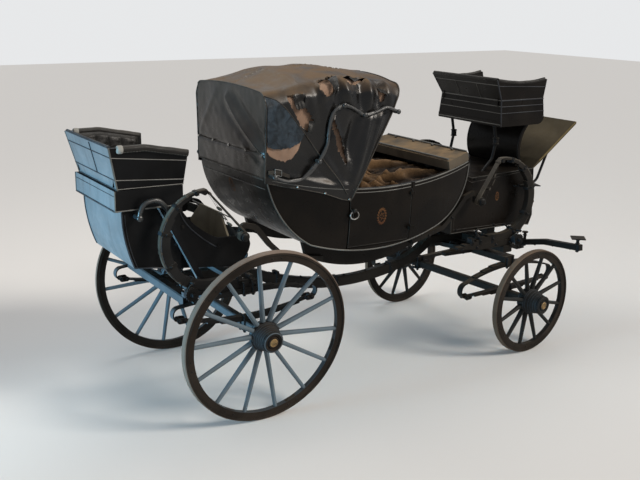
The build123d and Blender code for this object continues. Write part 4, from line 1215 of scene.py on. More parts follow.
@dataclass
class CabinGoods:
    """Seat cushions and the crumpled leather that lies across the seats."""

    shop: Workshop
    folds: tuple[tuple[float, float, float, float, float, float], ...] = (
        (0.62, 0.30, 0.98, -0.46, 0.048, 0.050), (0.78, 0.46, 1.16, -0.40, 0.040, 0.048),
        (0.95, 0.50, 1.36, -0.30, 0.048, 0.055), (1.12, 0.46, 1.52, -0.18, 0.042, 0.050),
        (1.28, 0.48, 1.66, 0.02, 0.046, 0.046), (1.02, -0.12, 1.46, -0.46, 0.034, 0.040),
        (1.22, 0.02, 1.62, -0.34, 0.034, 0.040), (0.70, -0.05, 0.86, -0.48, 0.034, 0.036),
        (1.44, 0.30, 1.74, -0.10, 0.032, 0.028), (1.50, -0.20, 1.76, -0.42, 0.032, 0.028),
        (0.90, 0.05, 1.10, -0.02, 0.026, 0.030), (1.30, 0.24, 1.48, 0.32, 0.026, 0.030),
    )

    def build(self) -> None:
        """Builds the soft goods of the cabin."""
        for end, low, high in (
            ("rear", (0.285, -0.510, 1.331), (0.615, 0.510, 1.418)),
            ("front", (1.578, -0.488, 1.331), (1.822, 0.488, 1.418)),
        ):
            cushion = Cushion("seat_cushions", f"{end}_bench_cushion", "seat_leather", "seat_leather", low, high)
            cushion.build(self.shop)
        self.add_heap()

    def add_heap(self) -> None:
        """The creased brown cover that has slid from the front seat over the foot room."""
        spine = (
            (0.50, 1.426), (0.62, 1.425), (0.70, 1.415), (0.84, 1.392), (1.00, 1.380), (1.20, 1.378), (1.40, 1.392),
            (1.56, 1.432), (1.66, 1.462), (1.80, 1.472),
        )
        painted_fold_lights: list[float] = []

        def place(u: float, v: float) -> Vector:
            """Point of the crumpled cover."""
            x, y = 0.52 + 1.28 * u, (2.0 * v - 1.0)
            half = between(((0.52, 0.500), (0.70, 0.540), (1.04, 0.560), (1.52, 0.538), (1.80, 0.486)), x)
            wide = y * half
            stir_x, stir_y = 0.055 * wander(x, wide, 3.0, 4.0, 2.0), 0.055 * wander(x, wide, 5.0, 4.0, 6.0)
            folds = sum(
                height * ridge(x + stir_x, wide + stir_y, line, 0.8 * width) for *line, width, height in self.folds
            )
            long_way, across = 0.8 * (x + stir_y) - 0.6 * (wide + stir_x), 0.6 * (x + stir_y) + 0.8 * (wide + stir_x)
            small = abs(wander(long_way * 0.8, across * 2.4, 0.4, 5.5, 8.0)) ** 0.75
            rise = 1.3 * folds + 0.085 * (0.33 - small) - 0.012
            # Painted light and shade: each point's fold height is kept for the shader, which lightens the fold tops and
            # leaves the hollows dark.
            painted_fold_lights.append(held(0.35 + rise / 0.085))
            z = between(spine, x) + rise + 0.002 * wander(x, y * 0.6, 0.9, 27.0, 5.0)
            z -= 0.05 * abs(y) ** 8
            floor = between(((0.52, 1.424), (0.62, 1.424), (0.70, 1.35), (1.50, 1.35), (1.58, 1.424), (1.80, 1.424)), x)
            rail = between(((0.52, 1.50), (1.04, 1.462), (1.50, 1.485), (1.62, 1.492), (1.80, 1.492)), x)
            z = max(floor, min(z, rail + 0.012 - 0.05 * abs(y) ** 4 if x < 1.62 else 1.494))
            return at(x + 0.020 * wander(x, y, 1.3, 6.0), y * half + 0.014 * wander(x, y, 2.1, 6.0) * (1.0 - abs(y)), z)

        thing = Bench.cloth(150, 136, place)
        # Stores the fold heights that the shader turns into painted light on the tops and painted shade in the hollows.
        mark = thing.data.attributes.new("crest", "FLOAT", "POINT")
        mark.data.foreach_set("value", painted_fold_lights)
        Bench.shape(thing, "SOLIDIFY", thickness=0.002, offset=-1.0)
        self.shop.sign_off(thing, "fallen_leather", Finished("crumpled_leather", slot="seat_leather", crease=70.0))
        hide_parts("crumpled_cover")


# Half hood


class HoodForm:
    """The hood's outer surface: x forward of the hind axle and s, the way up from its foot to the crown."""

    FOOT = 1.44
    EAVE_DROP = 0.07
    EAVE_IN = 0.09
    EAVE_ROUND = 0.136
    ROOF_STEP = 0.026
    STATIONS = (
        (0.150, 0.500, 0.530, 2.130, 2.178),
        (0.430, 0.540, 0.534, 2.185, 2.275),
        (0.780, 0.577, 0.530, 2.205, 2.292),
        (1.250, 0.592, 0.515, 2.150, 2.222),
    )

    @classmethod
    def sizes(cls, x: float) -> tuple[float, float, float, float]:
        """Foot half width, eave half width, eave height and crown height at x."""
        columns = zip(*cls.STATIONS)
        places = next(columns)
        return tuple(between(tuple(zip(places, column)), x) for column in columns)

    @classmethod
    def girth(cls, x: float) -> Point:
        """Lengths of the side, the rounded eave and half the roof at x."""
        foot, eave, eave_z, crown = cls.sizes(x)
        side = math.hypot(eave - foot, eave_z - cls.EAVE_DROP - cls.FOOT)
        roof = math.hypot(eave - cls.EAVE_IN, crown - eave_z - cls.ROOF_STEP) * 1.012
        return side, cls.EAVE_ROUND, roof

    @classmethod
    def point(cls, x: float, s: float) -> Flat:
        """Half width and height of the surface at x and s.

        Args:
            x: Forward of the hind axle.
            s: Way up from the foot, along the surface.

        Returns:
            Distance from the middle plane, and height.
        """
        foot, eave, eave_z, crown = cls.sizes(x)
        side, bend, roof = cls.girth(x)
        if s <= side:
            share = s / side
            return foot + (eave - foot) * share, cls.FOOT + (eave_z - cls.EAVE_DROP - cls.FOOT) * share
        if s <= side + bend:
            swing = (s - side) / bend
            angle = swing * math.radians(74.0)
            return (
                eave - cls.EAVE_IN * swing**1.25 * (1.0 - 0.12 * math.sin(math.pi * swing)),
                eave_z - cls.EAVE_DROP + 0.1 * math.sin(angle),
            )
        share = min(1.0, (s - side - bend) / roof)
        half = (eave - cls.EAVE_IN) * (1.0 - share)
        rise = crown - eave_z - cls.ROOF_STEP
        return half, crown - rise * (half / (eave - cls.EAVE_IN)) ** 2


@dataclass(frozen=True)
class Tear:
    """A torn place: its outline in x and s, and how far its lips stand up."""

    outline: tuple[Flat, ...]
    lip: float = 0.009
    rag: float = 0.006

    def near(self, x: float, s: float, margin: float = 0.05) -> bool:
        """Whether a place lies in the tear's box, with a margin."""
        xs, heights = zip(*self.outline)
        return min(xs) - margin < x < max(xs) + margin and min(heights) - margin < s < max(heights) + margin

    def ragged(self) -> list[Flat]:
        """The outline in short uneven steps."""
        corners = list(self.outline)
        places = []
        for (x, s), (next_x, next_s) in zip(corners, corners[1:] + corners[:1]):
            count = max(2, int(math.hypot(next_x - x, next_s - s) / 0.008))
            for step in range(count):
                share = step / count
                here = (x + (next_x - x) * share, s + (next_s - s) * share)
                stir = self.rag * wander(*here, 0.3, 90.0)
                places.append((here[0] + stir, here[1] + self.rag * wander(*here, 0.7, 90.0)))
        return places


def nearest_on(outline: Sequence[Flat], x: float, s: float) -> tuple[float, float, float, bool]:
    """The outline's nearest point, its distance, and whether (x, s) lies inside.

    Args:
        outline: Closed outline.
        x: First coordinate.
        s: Second coordinate.

    Returns:
        Nearest x, nearest s, distance, inside.
    """
    best = (x, s, 9.0)
    inside = False
    last_x, last_s = outline[-1]
    for next_x, next_s in outline:
        run_x, run_s = next_x - last_x, next_s - last_s
        size = run_x * run_x + run_s * run_s or 1e-12
        share = held(((x - last_x) * run_x + (s - last_s) * run_s) / size)
        near_x, near_s = last_x + run_x * share, last_s + run_s * share
        away = math.hypot(x - near_x, s - near_s)
        if away < best[2]:
            best = (near_x, near_s, away)
        if (next_s > s) != (last_s > s) and x < (last_x - next_x) * (s - next_s) / (last_s - next_s) + next_x:
            inside = not inside
        last_x, last_s = next_x, next_s
    return (*best, inside)


IRON_ROUTE = (
    (0.186, 1.608), (0.282, 1.574), (0.400, 1.580), (0.533, 1.686), (0.602, 1.793), (0.622, 1.920), (0.662, 2.014),
    (0.740, 2.052), (0.817, 2.028), (0.912, 1.977), (1.019, 1.994), (1.105, 2.018), (1.196, 1.984),
)


def iron_half(z: float) -> float:
    """Distance of the hood irons' middle from the middle plane at a height."""
    return 0.580 - (z - 1.5) * math.tan(math.radians(3.0))


@dataclass
class HalfHood:
    """Half hood: leather over bows, torn on its right side and roof, with its lining, piping and buckles."""

    shop: Workshop
    skin: float = 0.0028
    cells_long: int = 128
    cells_round: int = 92
    back_x: float = 0.152
    front: tuple[Flat, ...] = (
        (-0.052, 0.778), (0.102, 0.878), (0.287, 0.998), (0.406, 1.086), (0.520, 1.159), (0.640, 1.226),
        (0.700, 1.256), (0.760, 1.268), (0.830, 1.255),
    )
    foot: tuple[Flat, ...] = (
        (0.150, 0.118), (0.176, 0.112), (0.379, 0.066), (0.583, 0.014), (0.719, -0.039), (0.778, -0.052),
    )
    right_tears: tuple[Tear, ...] = (
        Tear(((0.307, 0.694), (0.442, 0.690), (0.436, 0.622), (0.508, 0.516), (0.460, 0.447), (0.413, 0.481),
              (0.355, 0.586), (0.320, 0.648))),
        Tear(((0.659, 0.523), (0.713, 0.401), (0.765, 0.222), (0.746, 0.197), (0.687, 0.307), (0.646, 0.456))),
        Tear(((0.580, 0.796), (0.741, 0.866), (0.697, 0.732), (0.655, 0.688), (0.599, 0.672), (0.562, 0.728)), 0.014),
        Tear(((0.783, 0.850), (0.896, 0.825), (1.020, 0.815), (0.854, 0.743), (0.794, 0.763)), 0.014),
        Tear(((1.053, 0.720), (1.113, 0.679), (1.097, 0.631), (1.069, 0.612), (1.058, 0.670)), 0.012),
    )
    left_tears: tuple[Tear, ...] = (
        Tear(((0.330, 0.600), (0.372, 0.470), (0.402, 0.340), (0.380, 0.330), (0.338, 0.440), (0.306, 0.590))),
        Tear(((0.690, 0.700), (0.800, 0.735), (0.842, 0.690), (0.760, 0.650))),
    )
    folds: tuple[tuple[float, float, float, float, float, float], ...] = (
        (0.800, -0.020, 1.060, 0.520, 0.036, 0.034), (0.805, 0.080, 0.975, 0.500, 0.036, 0.028),
        (0.765, 0.270, 0.850, 0.520, 0.038, -0.026), (0.765, 0.150, 0.600, 0.600, 0.046, 0.024),
        (0.830, 0.060, 1.015, 0.470, 0.022, -0.016), (0.600, 0.250, 0.760, 0.000, 0.036, 0.016),
        (0.750, 0.810, 0.800, 0.620, 0.034, 0.024), (0.900, 0.780, 0.900, 0.600, 0.034, -0.020),
        (0.990, 0.810, 0.965, 0.580, 0.030, 0.024), (1.060, 0.800, 1.040, 0.620, 0.026, -0.016),
        (1.130, 0.800, 1.150, 0.600, 0.034, 0.020), (0.200, 0.190, 0.640, 0.040, 0.036, 0.012),
        (0.640, 0.780, 0.560, 0.640, 0.036, 0.016), (0.480, 0.690, 0.530, 0.520, 0.032, 0.012),
        (0.420, 0.330, 0.640, 0.110, 0.030, -0.008), (0.690, 0.620, 0.720, 0.760, 0.026, -0.014),
    )
    back_seam: float = 1.747
    seam: tuple[Flat, ...] = (
        (0.156, 0.706), (0.230, 0.668), (0.297, 0.609), (0.367, 0.524), (0.437, 0.438), (0.519, 0.329), (0.602, 0.219),
        (0.694, 0.100), (0.752, 0.000),
    )

    def build(self) -> None:
        """Builds the hood's pieces."""
        self.add_cover()
        self.add_lining()
        self.add_back()
        self.add_flap()
        self.add_rags()
        self.add_piping()
        self.add_bows()
        self.add_buckles()

    def lay(self, u: float, v: float) -> tuple[Side, float, float]:
        """Which side, x and s a share of the sheet stands for.

        Args:
            u: From back to front.
            v: From the right foot over the crown to the left foot.

        Returns:
            Side, x and s.
        """
        side = Side.RIGHT if v < 0.5 else Side.LEFT
        rise = 1.0 - abs(2.0 * v - 1.0)
        reach = 1.0
        for _ in range(6):
            reach = 0.5 * (reach + between(self.front, self.height_at(reach, rise)))
        reach += 0.005 * wander(rise * 3.0, v, 0.0, 3.0, 4.0)
        x = self.back_x + u * (reach - self.back_x)
        return side, x, self.height_at(x, rise)

    def height_at(self, x: float, rise: float) -> float:
        """The way up at x and a share of the rise from the foot to the crown."""
        low = between(self.foot, x)
        return low + rise * (sum(HoodForm.girth(x)) - low)

    def relief(self, side: Side, x: float, s: float) -> float:
        """How far folds, bows and slack push the leather out at x and s."""
        stir = 1.0 if side is Side.RIGHT else 0.8
        push = sum(
            height * stir * ridge(x + (0.0 if side is Side.RIGHT else 0.03), s, (ax, sa, bx, sb), wide)
            for ax, sa, bx, sb, wide, height in self.folds
        )
        roofward = held((s - 0.7) / 0.12)
        slack = math.sin(math.pi * ((x - 0.15) % 0.35) / 0.35)
        push -= roofward * 0.007 * slack
        push += 0.0045 * wander(x, s * 0.7, side.value * 0.8, 5.0, 2.0)
        push += 0.0012 * wander(x * 1.6, s * 0.6, side.value * 0.8, 15.0, 6.0)
        return push

    def spot(self, side: Side, x: float, s: float, proud: float = 0.0) -> Vector:
        """Point of the leather at x and s, a little proud of it if asked."""
        half, z = HoodForm.point(x, s)
        ahead_half, ahead_z = HoodForm.point(x, s + 0.004)
        normal = Vector((ahead_z - z, -(ahead_half - half))).normalized()
        out = self.relief(side, x, s) + proud
        half, z = half + normal.x * out, z + normal.y * out
        rail = between(((0.158, 1.591), (0.450, 1.531), (0.700, 1.490), (1.040, 1.464)), x)
        if z < rail + 0.05 and x < 0.82:
            clear = self.body_half(x, min(z, rail - 0.02)) + 0.005 + proud
            near = held((rail + 0.05 - z) / 0.04)
            half = half * (1.0 - near) + max(half, clear) * near
        half = min(half, iron_half(z) - 0.0155 + proud + 0.75 * max(0.0, self.off_iron(x, z) - 0.016))
        return side.at(x, max(half, 0.0), z)

    @staticmethod
    def off_iron(x: float, z: float) -> float:
        """Distance from the hood iron's line, seen from the side."""
        best = 9.0
        for (ax, az), (bx, bz) in zip(IRON_ROUTE, IRON_ROUTE[1:]):
            run_x, run_z = bx - ax, bz - az
            share = held(((x - ax) * run_x + (z - az) * run_z) / (run_x * run_x + run_z * run_z))
            best = min(best, math.hypot(x - ax - run_x * share, z - az - run_z * share))
        return best

    def body_half(self, x: float, z: float) -> float:
        """Half width of the body's rear quarter, read clear of its ends."""
        found = self.shop.from_side(Side.RIGHT, held(x, 0.2, 0.762), z, ("body_shell",))
        return 0.0 if found is None else abs(found.y)

    def add_cover(self) -> None:
        """The torn leather over roof and sides, in one sheet."""
        tears = {
            Side.RIGHT: [(tear, tear.ragged()) for tear in self.right_tears],
            Side.LEFT: [(tear, tear.ragged()) for tear in self.left_tears],
        }
        flats: list[tuple[Side, float, float]] = []

        def place(u: float, v: float) -> Vector:
            """Point of the cover, drawn to a tear's edge where it is near one."""
            side, x, s = self.lay(u, v)
            lift = 0.0
            for tear, outline in tears[side]:
                if not tear.near(x, s):
                    continue
                near_x, near_s, away, inside = nearest_on(outline, x, s)
                if away < 0.0055:
                    x, s = near_x, near_s
                if not inside:
                    curl = 0.6 + wander(near_x, near_s, 0.0, 24.0, 1.0)
                    lift += tear.lip * curl * math.exp(-((away / 0.018) ** 2))
            flats.append((side, x, s))
            return self.spot(side, x, s, lift)

        thing = Bench.cloth(self.cells_long, 2 * self.cells_round, place)
        chosen = []
        for face in thing.data.polygons:
            corners = [flats[index] for index in face.vertices]
            x, s = (sum(corner[part] for corner in corners) / len(corners) for part in (1, 2))
            if any(tear.near(x, s, 0.01) and nearest_on(outline, x, s)[3] for tear, outline in tears[corners[0][0]]):
                chosen.append(face.index)
        self.cut_out(thing, chosen)
        Bench.shape(thing, "SOLIDIFY", thickness=self.skin, offset=-1.0)
        self.shop.sign_off(thing, "hood_cover", Finished("hood_leather", slot="hood_leather", crease=50.0))
        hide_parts("hood")

    @staticmethod
    def cut_out(thing: Thing, chosen: Sequence[int]) -> None:
        """Deletes some of the faces."""
        Bench.grab(thing)
        bpy.ops.object.mode_set(mode="EDIT")
        bpy.ops.mesh.select_mode(type="FACE")
        bpy.ops.mesh.select_all(action="DESELECT")
        bpy.ops.object.mode_set(mode="OBJECT")
        for index in chosen:
            thing.data.polygons[index].select = True
        bpy.ops.object.mode_set(mode="EDIT")
        bpy.ops.mesh.delete(type="FACE")
        bpy.ops.object.mode_set(mode="OBJECT")

    def add_lining(self) -> None:
        """Tan cloth under the leather, seen through the tears and from the front."""

        def place(u: float, v: float) -> Vector:
            """Point of the lining, inside the leather."""
            side, x, s = self.lay(u * 0.985, 0.02 + 0.96 * v)
            half, z = HoodForm.point(x, s)
            inset = 0.017 + 0.004 * wander(x, s, side.value, 9.0, 3.0) - 1.15 * min(0.0, self.relief(side, x, s))
            eave_z = HoodForm.sizes(x)[2]
            roofward = held((z - eave_z + 0.05) / 0.06)
            half = max(0.0, half - inset * (1.0 - 0.5 * roofward))
            return side.at(x, half, max(z - inset * roofward, 1.50 - 0.02 * u))

        thing = Bench.cloth(56, 96, place, 0.0015)
        self.shop.sign_off(thing, "hood_lining", Finished("lining_cloth", slot="seat_leather", crease=60.0))

    def back_edge(self, y: float) -> float:
        """Height of the roof's rear edge at y."""
        _, eave, eave_z, crown = HoodForm.sizes(self.back_x)
        half, drop, inset = abs(y), HoodForm.EAVE_DROP, HoodForm.EAVE_IN
        if half > eave - inset:
            swing = (half - eave + inset) / inset
            return eave_z - drop + 0.096 * math.sqrt(max(0.0, 1.0 - swing * swing))
        return crown - (crown - eave_z - HoodForm.ROOF_STEP) * (half / (eave - inset)) ** 2

    def add_back(self) -> None:
        """The rear panel, with its slack, its long crease and the seam across it."""
        low_half, top_half = 0.504, 0.521

        def place(u: float, v: float) -> Vector:
            """Point of the rear panel."""
            y = (2.0 * u - 1.0) * top_half
            low, high = 1.584, self.back_edge(y)
            z = low + v * (high - low)
            half = low_half + (top_half - low_half) * min(1.0, (z - low) / 0.5)
            y *= half / top_half
            push = 0.012 * math.sin(math.pi * v) * math.cos(0.5 * math.pi * y / 0.53)
            push += 0.034 * ridge(y, z, (0.02, 2.08, -0.485, 1.752), 0.026)
            push -= 0.014 * ridge(y, z, (0.06, 2.00, -0.44, 1.70), 0.032)
            push -= 0.012 * ridge(y, z, (-0.08, 2.11, -0.50, 1.83), 0.030)
            push += 0.008 * ridge(y, z, (0.20, 2.10, 0.46, 1.80), 0.030)
            push += 0.004 * wander(y, z, 0.0, 7.0, 8.0) + 0.002 * wander(y, z, 0.3, 19.0, 1.0)
            push -= 0.006 * math.exp(-(((z - self.back_seam) / 0.012) ** 2))
            return at(0.149 - max(push, -0.004), y, z)

        thing = Bench.cloth(84, 64, lambda u, v: place(1.0 - u, v), self.skin)
        self.shop.sign_off(thing, "hood_back", Finished("hood_back_leather", slot="hood_leather", crease=50.0))
        rags = []
        for index in range(9):
            z = 1.66 + 0.052 * index + 0.012 * wander(index, 0.0, 0.0, 1.7)
            tall = 0.022 + 0.012 * wander(index, 3.0, 0.0, 1.3)
            out = 0.014 + 0.010 * wander(index, 7.0, 0.0, 1.9)
            corners = [
                at(0.150, 0.512, z - tall), at(0.146, 0.512 + out, z - tall * 0.3),
                at(0.143, 0.514 + out * 0.7, z + tall * 0.4), at(0.150, 0.512, z + tall),
            ]
            rags.append(Bench.plate(corners, (0.0025, 0.0, 0.0)))
        rag = Bench.join(rags)
        Bench.shape(rag, "SUBSURF", levels=1, render_levels=1)
        self.shop.sign_off(rag, "hood_corner_rags", Finished("hood_back_leather", slot="hood_leather", crease=60.0))

    def add_flap(self) -> None:
        """The blue-grey flap that has come away below the seam, and the cloth bared under it."""
        low = ((0.158, 0.366), (0.200, 0.352), (0.255, 0.345), (0.334, 0.352), (0.391, 0.379), (0.428, 0.436))
        bare = (
            (0.158, 0.330), (0.190, 0.296), (0.223, 0.278), (0.290, 0.257), (0.346, 0.279), (0.391, 0.330),
            (0.410, 0.392),
        )

        def flap(u: float, v: float) -> Vector:
            """Point of the hanging flap."""
            x = 0.157 + u * (0.432 - 0.157)
            hem = between(low, x) + 0.010 * wander(x, 0.0, 0.0, 60.0, 5.0) * (1.0 - v)
            s = hem + v * (between(self.seam, x) - 0.006 - hem)
            lift = 0.006 + 0.010 * (1.0 - v) ** 2 * (0.7 + 0.5 * wander(x, 0.0, 0.0, 12.0, 9.0))
            lift += 0.004 * wander(x, s, 0.0, 16.0, 7.0)
            return self.spot(Side.RIGHT, x, s, max(lift, 0.003))

        def cloth(u: float, v: float) -> Vector:
            """Point of the bared cloth."""
            x = 0.158 + u * (0.408 - 0.158)
            hem = between(bare, x) + 0.008 * wander(x, 1.0, 0.0, 70.0, 2.0) * (1.0 - v)
            s = hem + v * (between(low, x) + 0.03 - hem)
            return self.spot(Side.RIGHT, x, s, 0.003 + 0.002 * wander(x, s, 0.0, 30.0, 3.0))

        torn = Bench.cloth(44, 48, flap, 0.0018)
        self.shop.sign_off(torn, "hood_torn_flap", Finished("flap_leather", slot="hood_leather", crease=60.0))
        bared = Bench.cloth(36, 14, cloth, 0.001)
        self.shop.sign_off(bared, "hood_bared_cloth", Finished("lining_cloth", slot="seat_leather", crease=60.0))

    def add_rags(self) -> None:
        """Stiff shreds of leather that still hang in the tears."""
        shreds = (
            ((0.352, 0.700), (0.446, 0.694), (0.440, 0.612), (0.372, 0.600), -0.012, 0.016),
            ((0.656, 0.800), (0.748, 0.866), (0.700, 0.728), (0.668, 0.700), 0.004, 0.034),
            ((0.470, 0.520), (0.515, 0.516), (0.470, 0.440), (0.455, 0.452), 0.004, 0.026),
            ((0.856, 0.830), (0.930, 0.826), (0.900, 0.775), (0.866, 0.762), -0.006, 0.022),
            ((1.056, 0.725), (1.115, 0.684), (1.100, 0.655), (1.066, 0.680), 0.002, 0.026),
        )
        parts = []
        for first, second, third, fourth, sunk, curl in shreds:

            def place(u: float, v: float) -> Vector:
                """Point of a shred: fast along its top, curled away at its free end."""
                top = (first[0] + (second[0] - first[0]) * u, first[1] + (second[1] - first[1]) * u)
                low = (fourth[0] + (third[0] - fourth[0]) * u, fourth[1] + (third[1] - fourth[1]) * u)
                free = 1.0 - v
                jag = 0.12 * wander(u * 3.0, first[0] * 9.0, 0.0, 2.2, 4.0) * free
                x = top[0] + (low[0] - top[0]) * (free + jag)
                s = top[1] + (low[1] - top[1]) * (free + jag)
                lift = sunk * math.sin(math.pi * free) + curl * free**2 * (0.5 + u) + 0.004
                return self.spot(Side.RIGHT, x, s, lift + 0.004 * wander(x, s, 0.0, 30.0, 2.0))

            shred = Bench.cloth(14, 14, place)
            parts.append(Bench.shape(shred, "SOLIDIFY", thickness=0.0022, offset=0.0))
        shredded = Finished("buttoned_leather", slot="hood_leather", crease=60.0)
        thing = self.shop.sign_off(parts, "hood_shreds", shredded)

    def add_piping(self) -> None:
        """Welts along the corners, seams and edges."""
        for side in Side:
            runs = (
                ([self.spot(side, 0.152, s, 0.003) + BACKWARD * 0.003 for s in steps(0.120, 0.72, 40)], 0.0052),
                ([self.spot(side, *self.along(self.seam, step / 60), 0.004) for step in range(61)], 0.0036),
                ([self.spot(side, *self.edge_flat(step / 90), 0.001) for step in range(91)], 0.0062),
                ([self.spot(side, x, between(self.foot, x) + 0.004, 0.002) for x in steps(0.160, 0.776, 60)], 0.0034),
            )
            welts = [Bench.bead(points, radius) for points, radius in runs]
            self.shop.sign_off(welts, f"hood_piping_{side.word}", PIPED)
        runs = (
            ([at(0.1455, y, self.back_seam) for y in steps(-0.508, 0.508, 24)], 0.0036),
            ([at(0.1440, y, 1.587) for y in steps(-0.502, 0.502, 24)], 0.0034),
            ([at(0.1465, y, self.back_edge(y) + 0.001) for y in steps(-0.500, 0.500, 60)], 0.0046),
        )
        welts = [Bench.bead(points, radius) for points, radius in runs]
        self.shop.sign_off(welts, "hood_back_piping", PIPED)

    @staticmethod
    def along(line: Sequence[Flat], share: float) -> Flat:
        """A point of a table's line at a share of its rows."""
        step = share * (len(line) - 1)
        index = min(int(step), len(line) - 2)
        part = step - index
        (ax, sa), (bx, sb) = line[index], line[index + 1]
        return ax + (bx - ax) * part, sa + (sb - sa) * part

    def edge_flat(self, share: float) -> Flat:
        """x and s of the front edge at a share of the way from its tip to the crown."""
        _, x, s = self.lay(1.0, 0.5 * share)
        return x - 0.003, s

    def add_bows(self) -> None:
        """The bent wooden bows under the lining."""
        bows = []
        for share in (0.02, 0.27, 0.58, 0.965):
            points = []
            for step in range(49):
                side, x, s = self.lay(share, 0.07 + 0.86 * step / 48)
                half, z = HoodForm.point(x, s)
                roofward = held((s - 0.68) / 0.06)
                points.append(side.at(x, max(0.0, half - 0.026 * (1.0 - 0.4 * roofward)), z - 0.024 * roofward))
            bows.append(Bench.bead(points, 0.0085, sides=2))
        self.shop.sign_off(bows, "hood_bows", Finished("board_paint", slot="board_wood", crease=50.0))

    def add_buckles(self) -> None:
        """Buckle and strap where the iron starts, studs along the edge and the rear seam's knobs."""
        pins, straps = [], []
        for side in Side:
            buckle = ((0.215, 1.655), (0.262, 1.643), (0.258, 1.604), (0.211, 1.616))
            strap = ((0.168, 1.634), (0.205, 1.634), (0.262, 1.622), (0.318, 1.598))
            rim = [self.spot(side, x, z - HoodForm.FOOT, 0.013) for x, z in buckle]
            pins.append(Bench.bead(rim, 0.0032, closed=True))
            straps.append(Bench.strap([self.spot(side, x, z - HoodForm.FOOT, 0.009) for x, z in strap], UP, 0.026))
            for x, z in ((0.583, 1.462), (0.770, 1.403), (0.380, 1.520)):
                stud = Bench.turned(((0.0085, 0.0), (0.0085, 0.004), (0.006, 0.008), (0.002, 0.0095)), 14)
                pins.append(Bench.put(stud, framed(self.spot(side, x, z - HoodForm.FOOT, 0.001), side.out)))
        for y in (-0.488, 0.488, -0.25, 0.0, 0.25):
            knob = Bench.turned(((0.006, 0.0), (0.009, 0.004), (0.007, 0.010), (0.002, 0.012)), 14)
            pins.append(Bench.put(knob, framed(at(0.143, y, self.back_seam), BACKWARD)))
        self.shop.sign_off(pins, "hood_buckles", Finished("bright_edge"))
        self.shop.sign_off(straps, "hood_buckle_straps", Finished("strap_leather", slot="strap_leather"))


# Rumble seat and hind boot


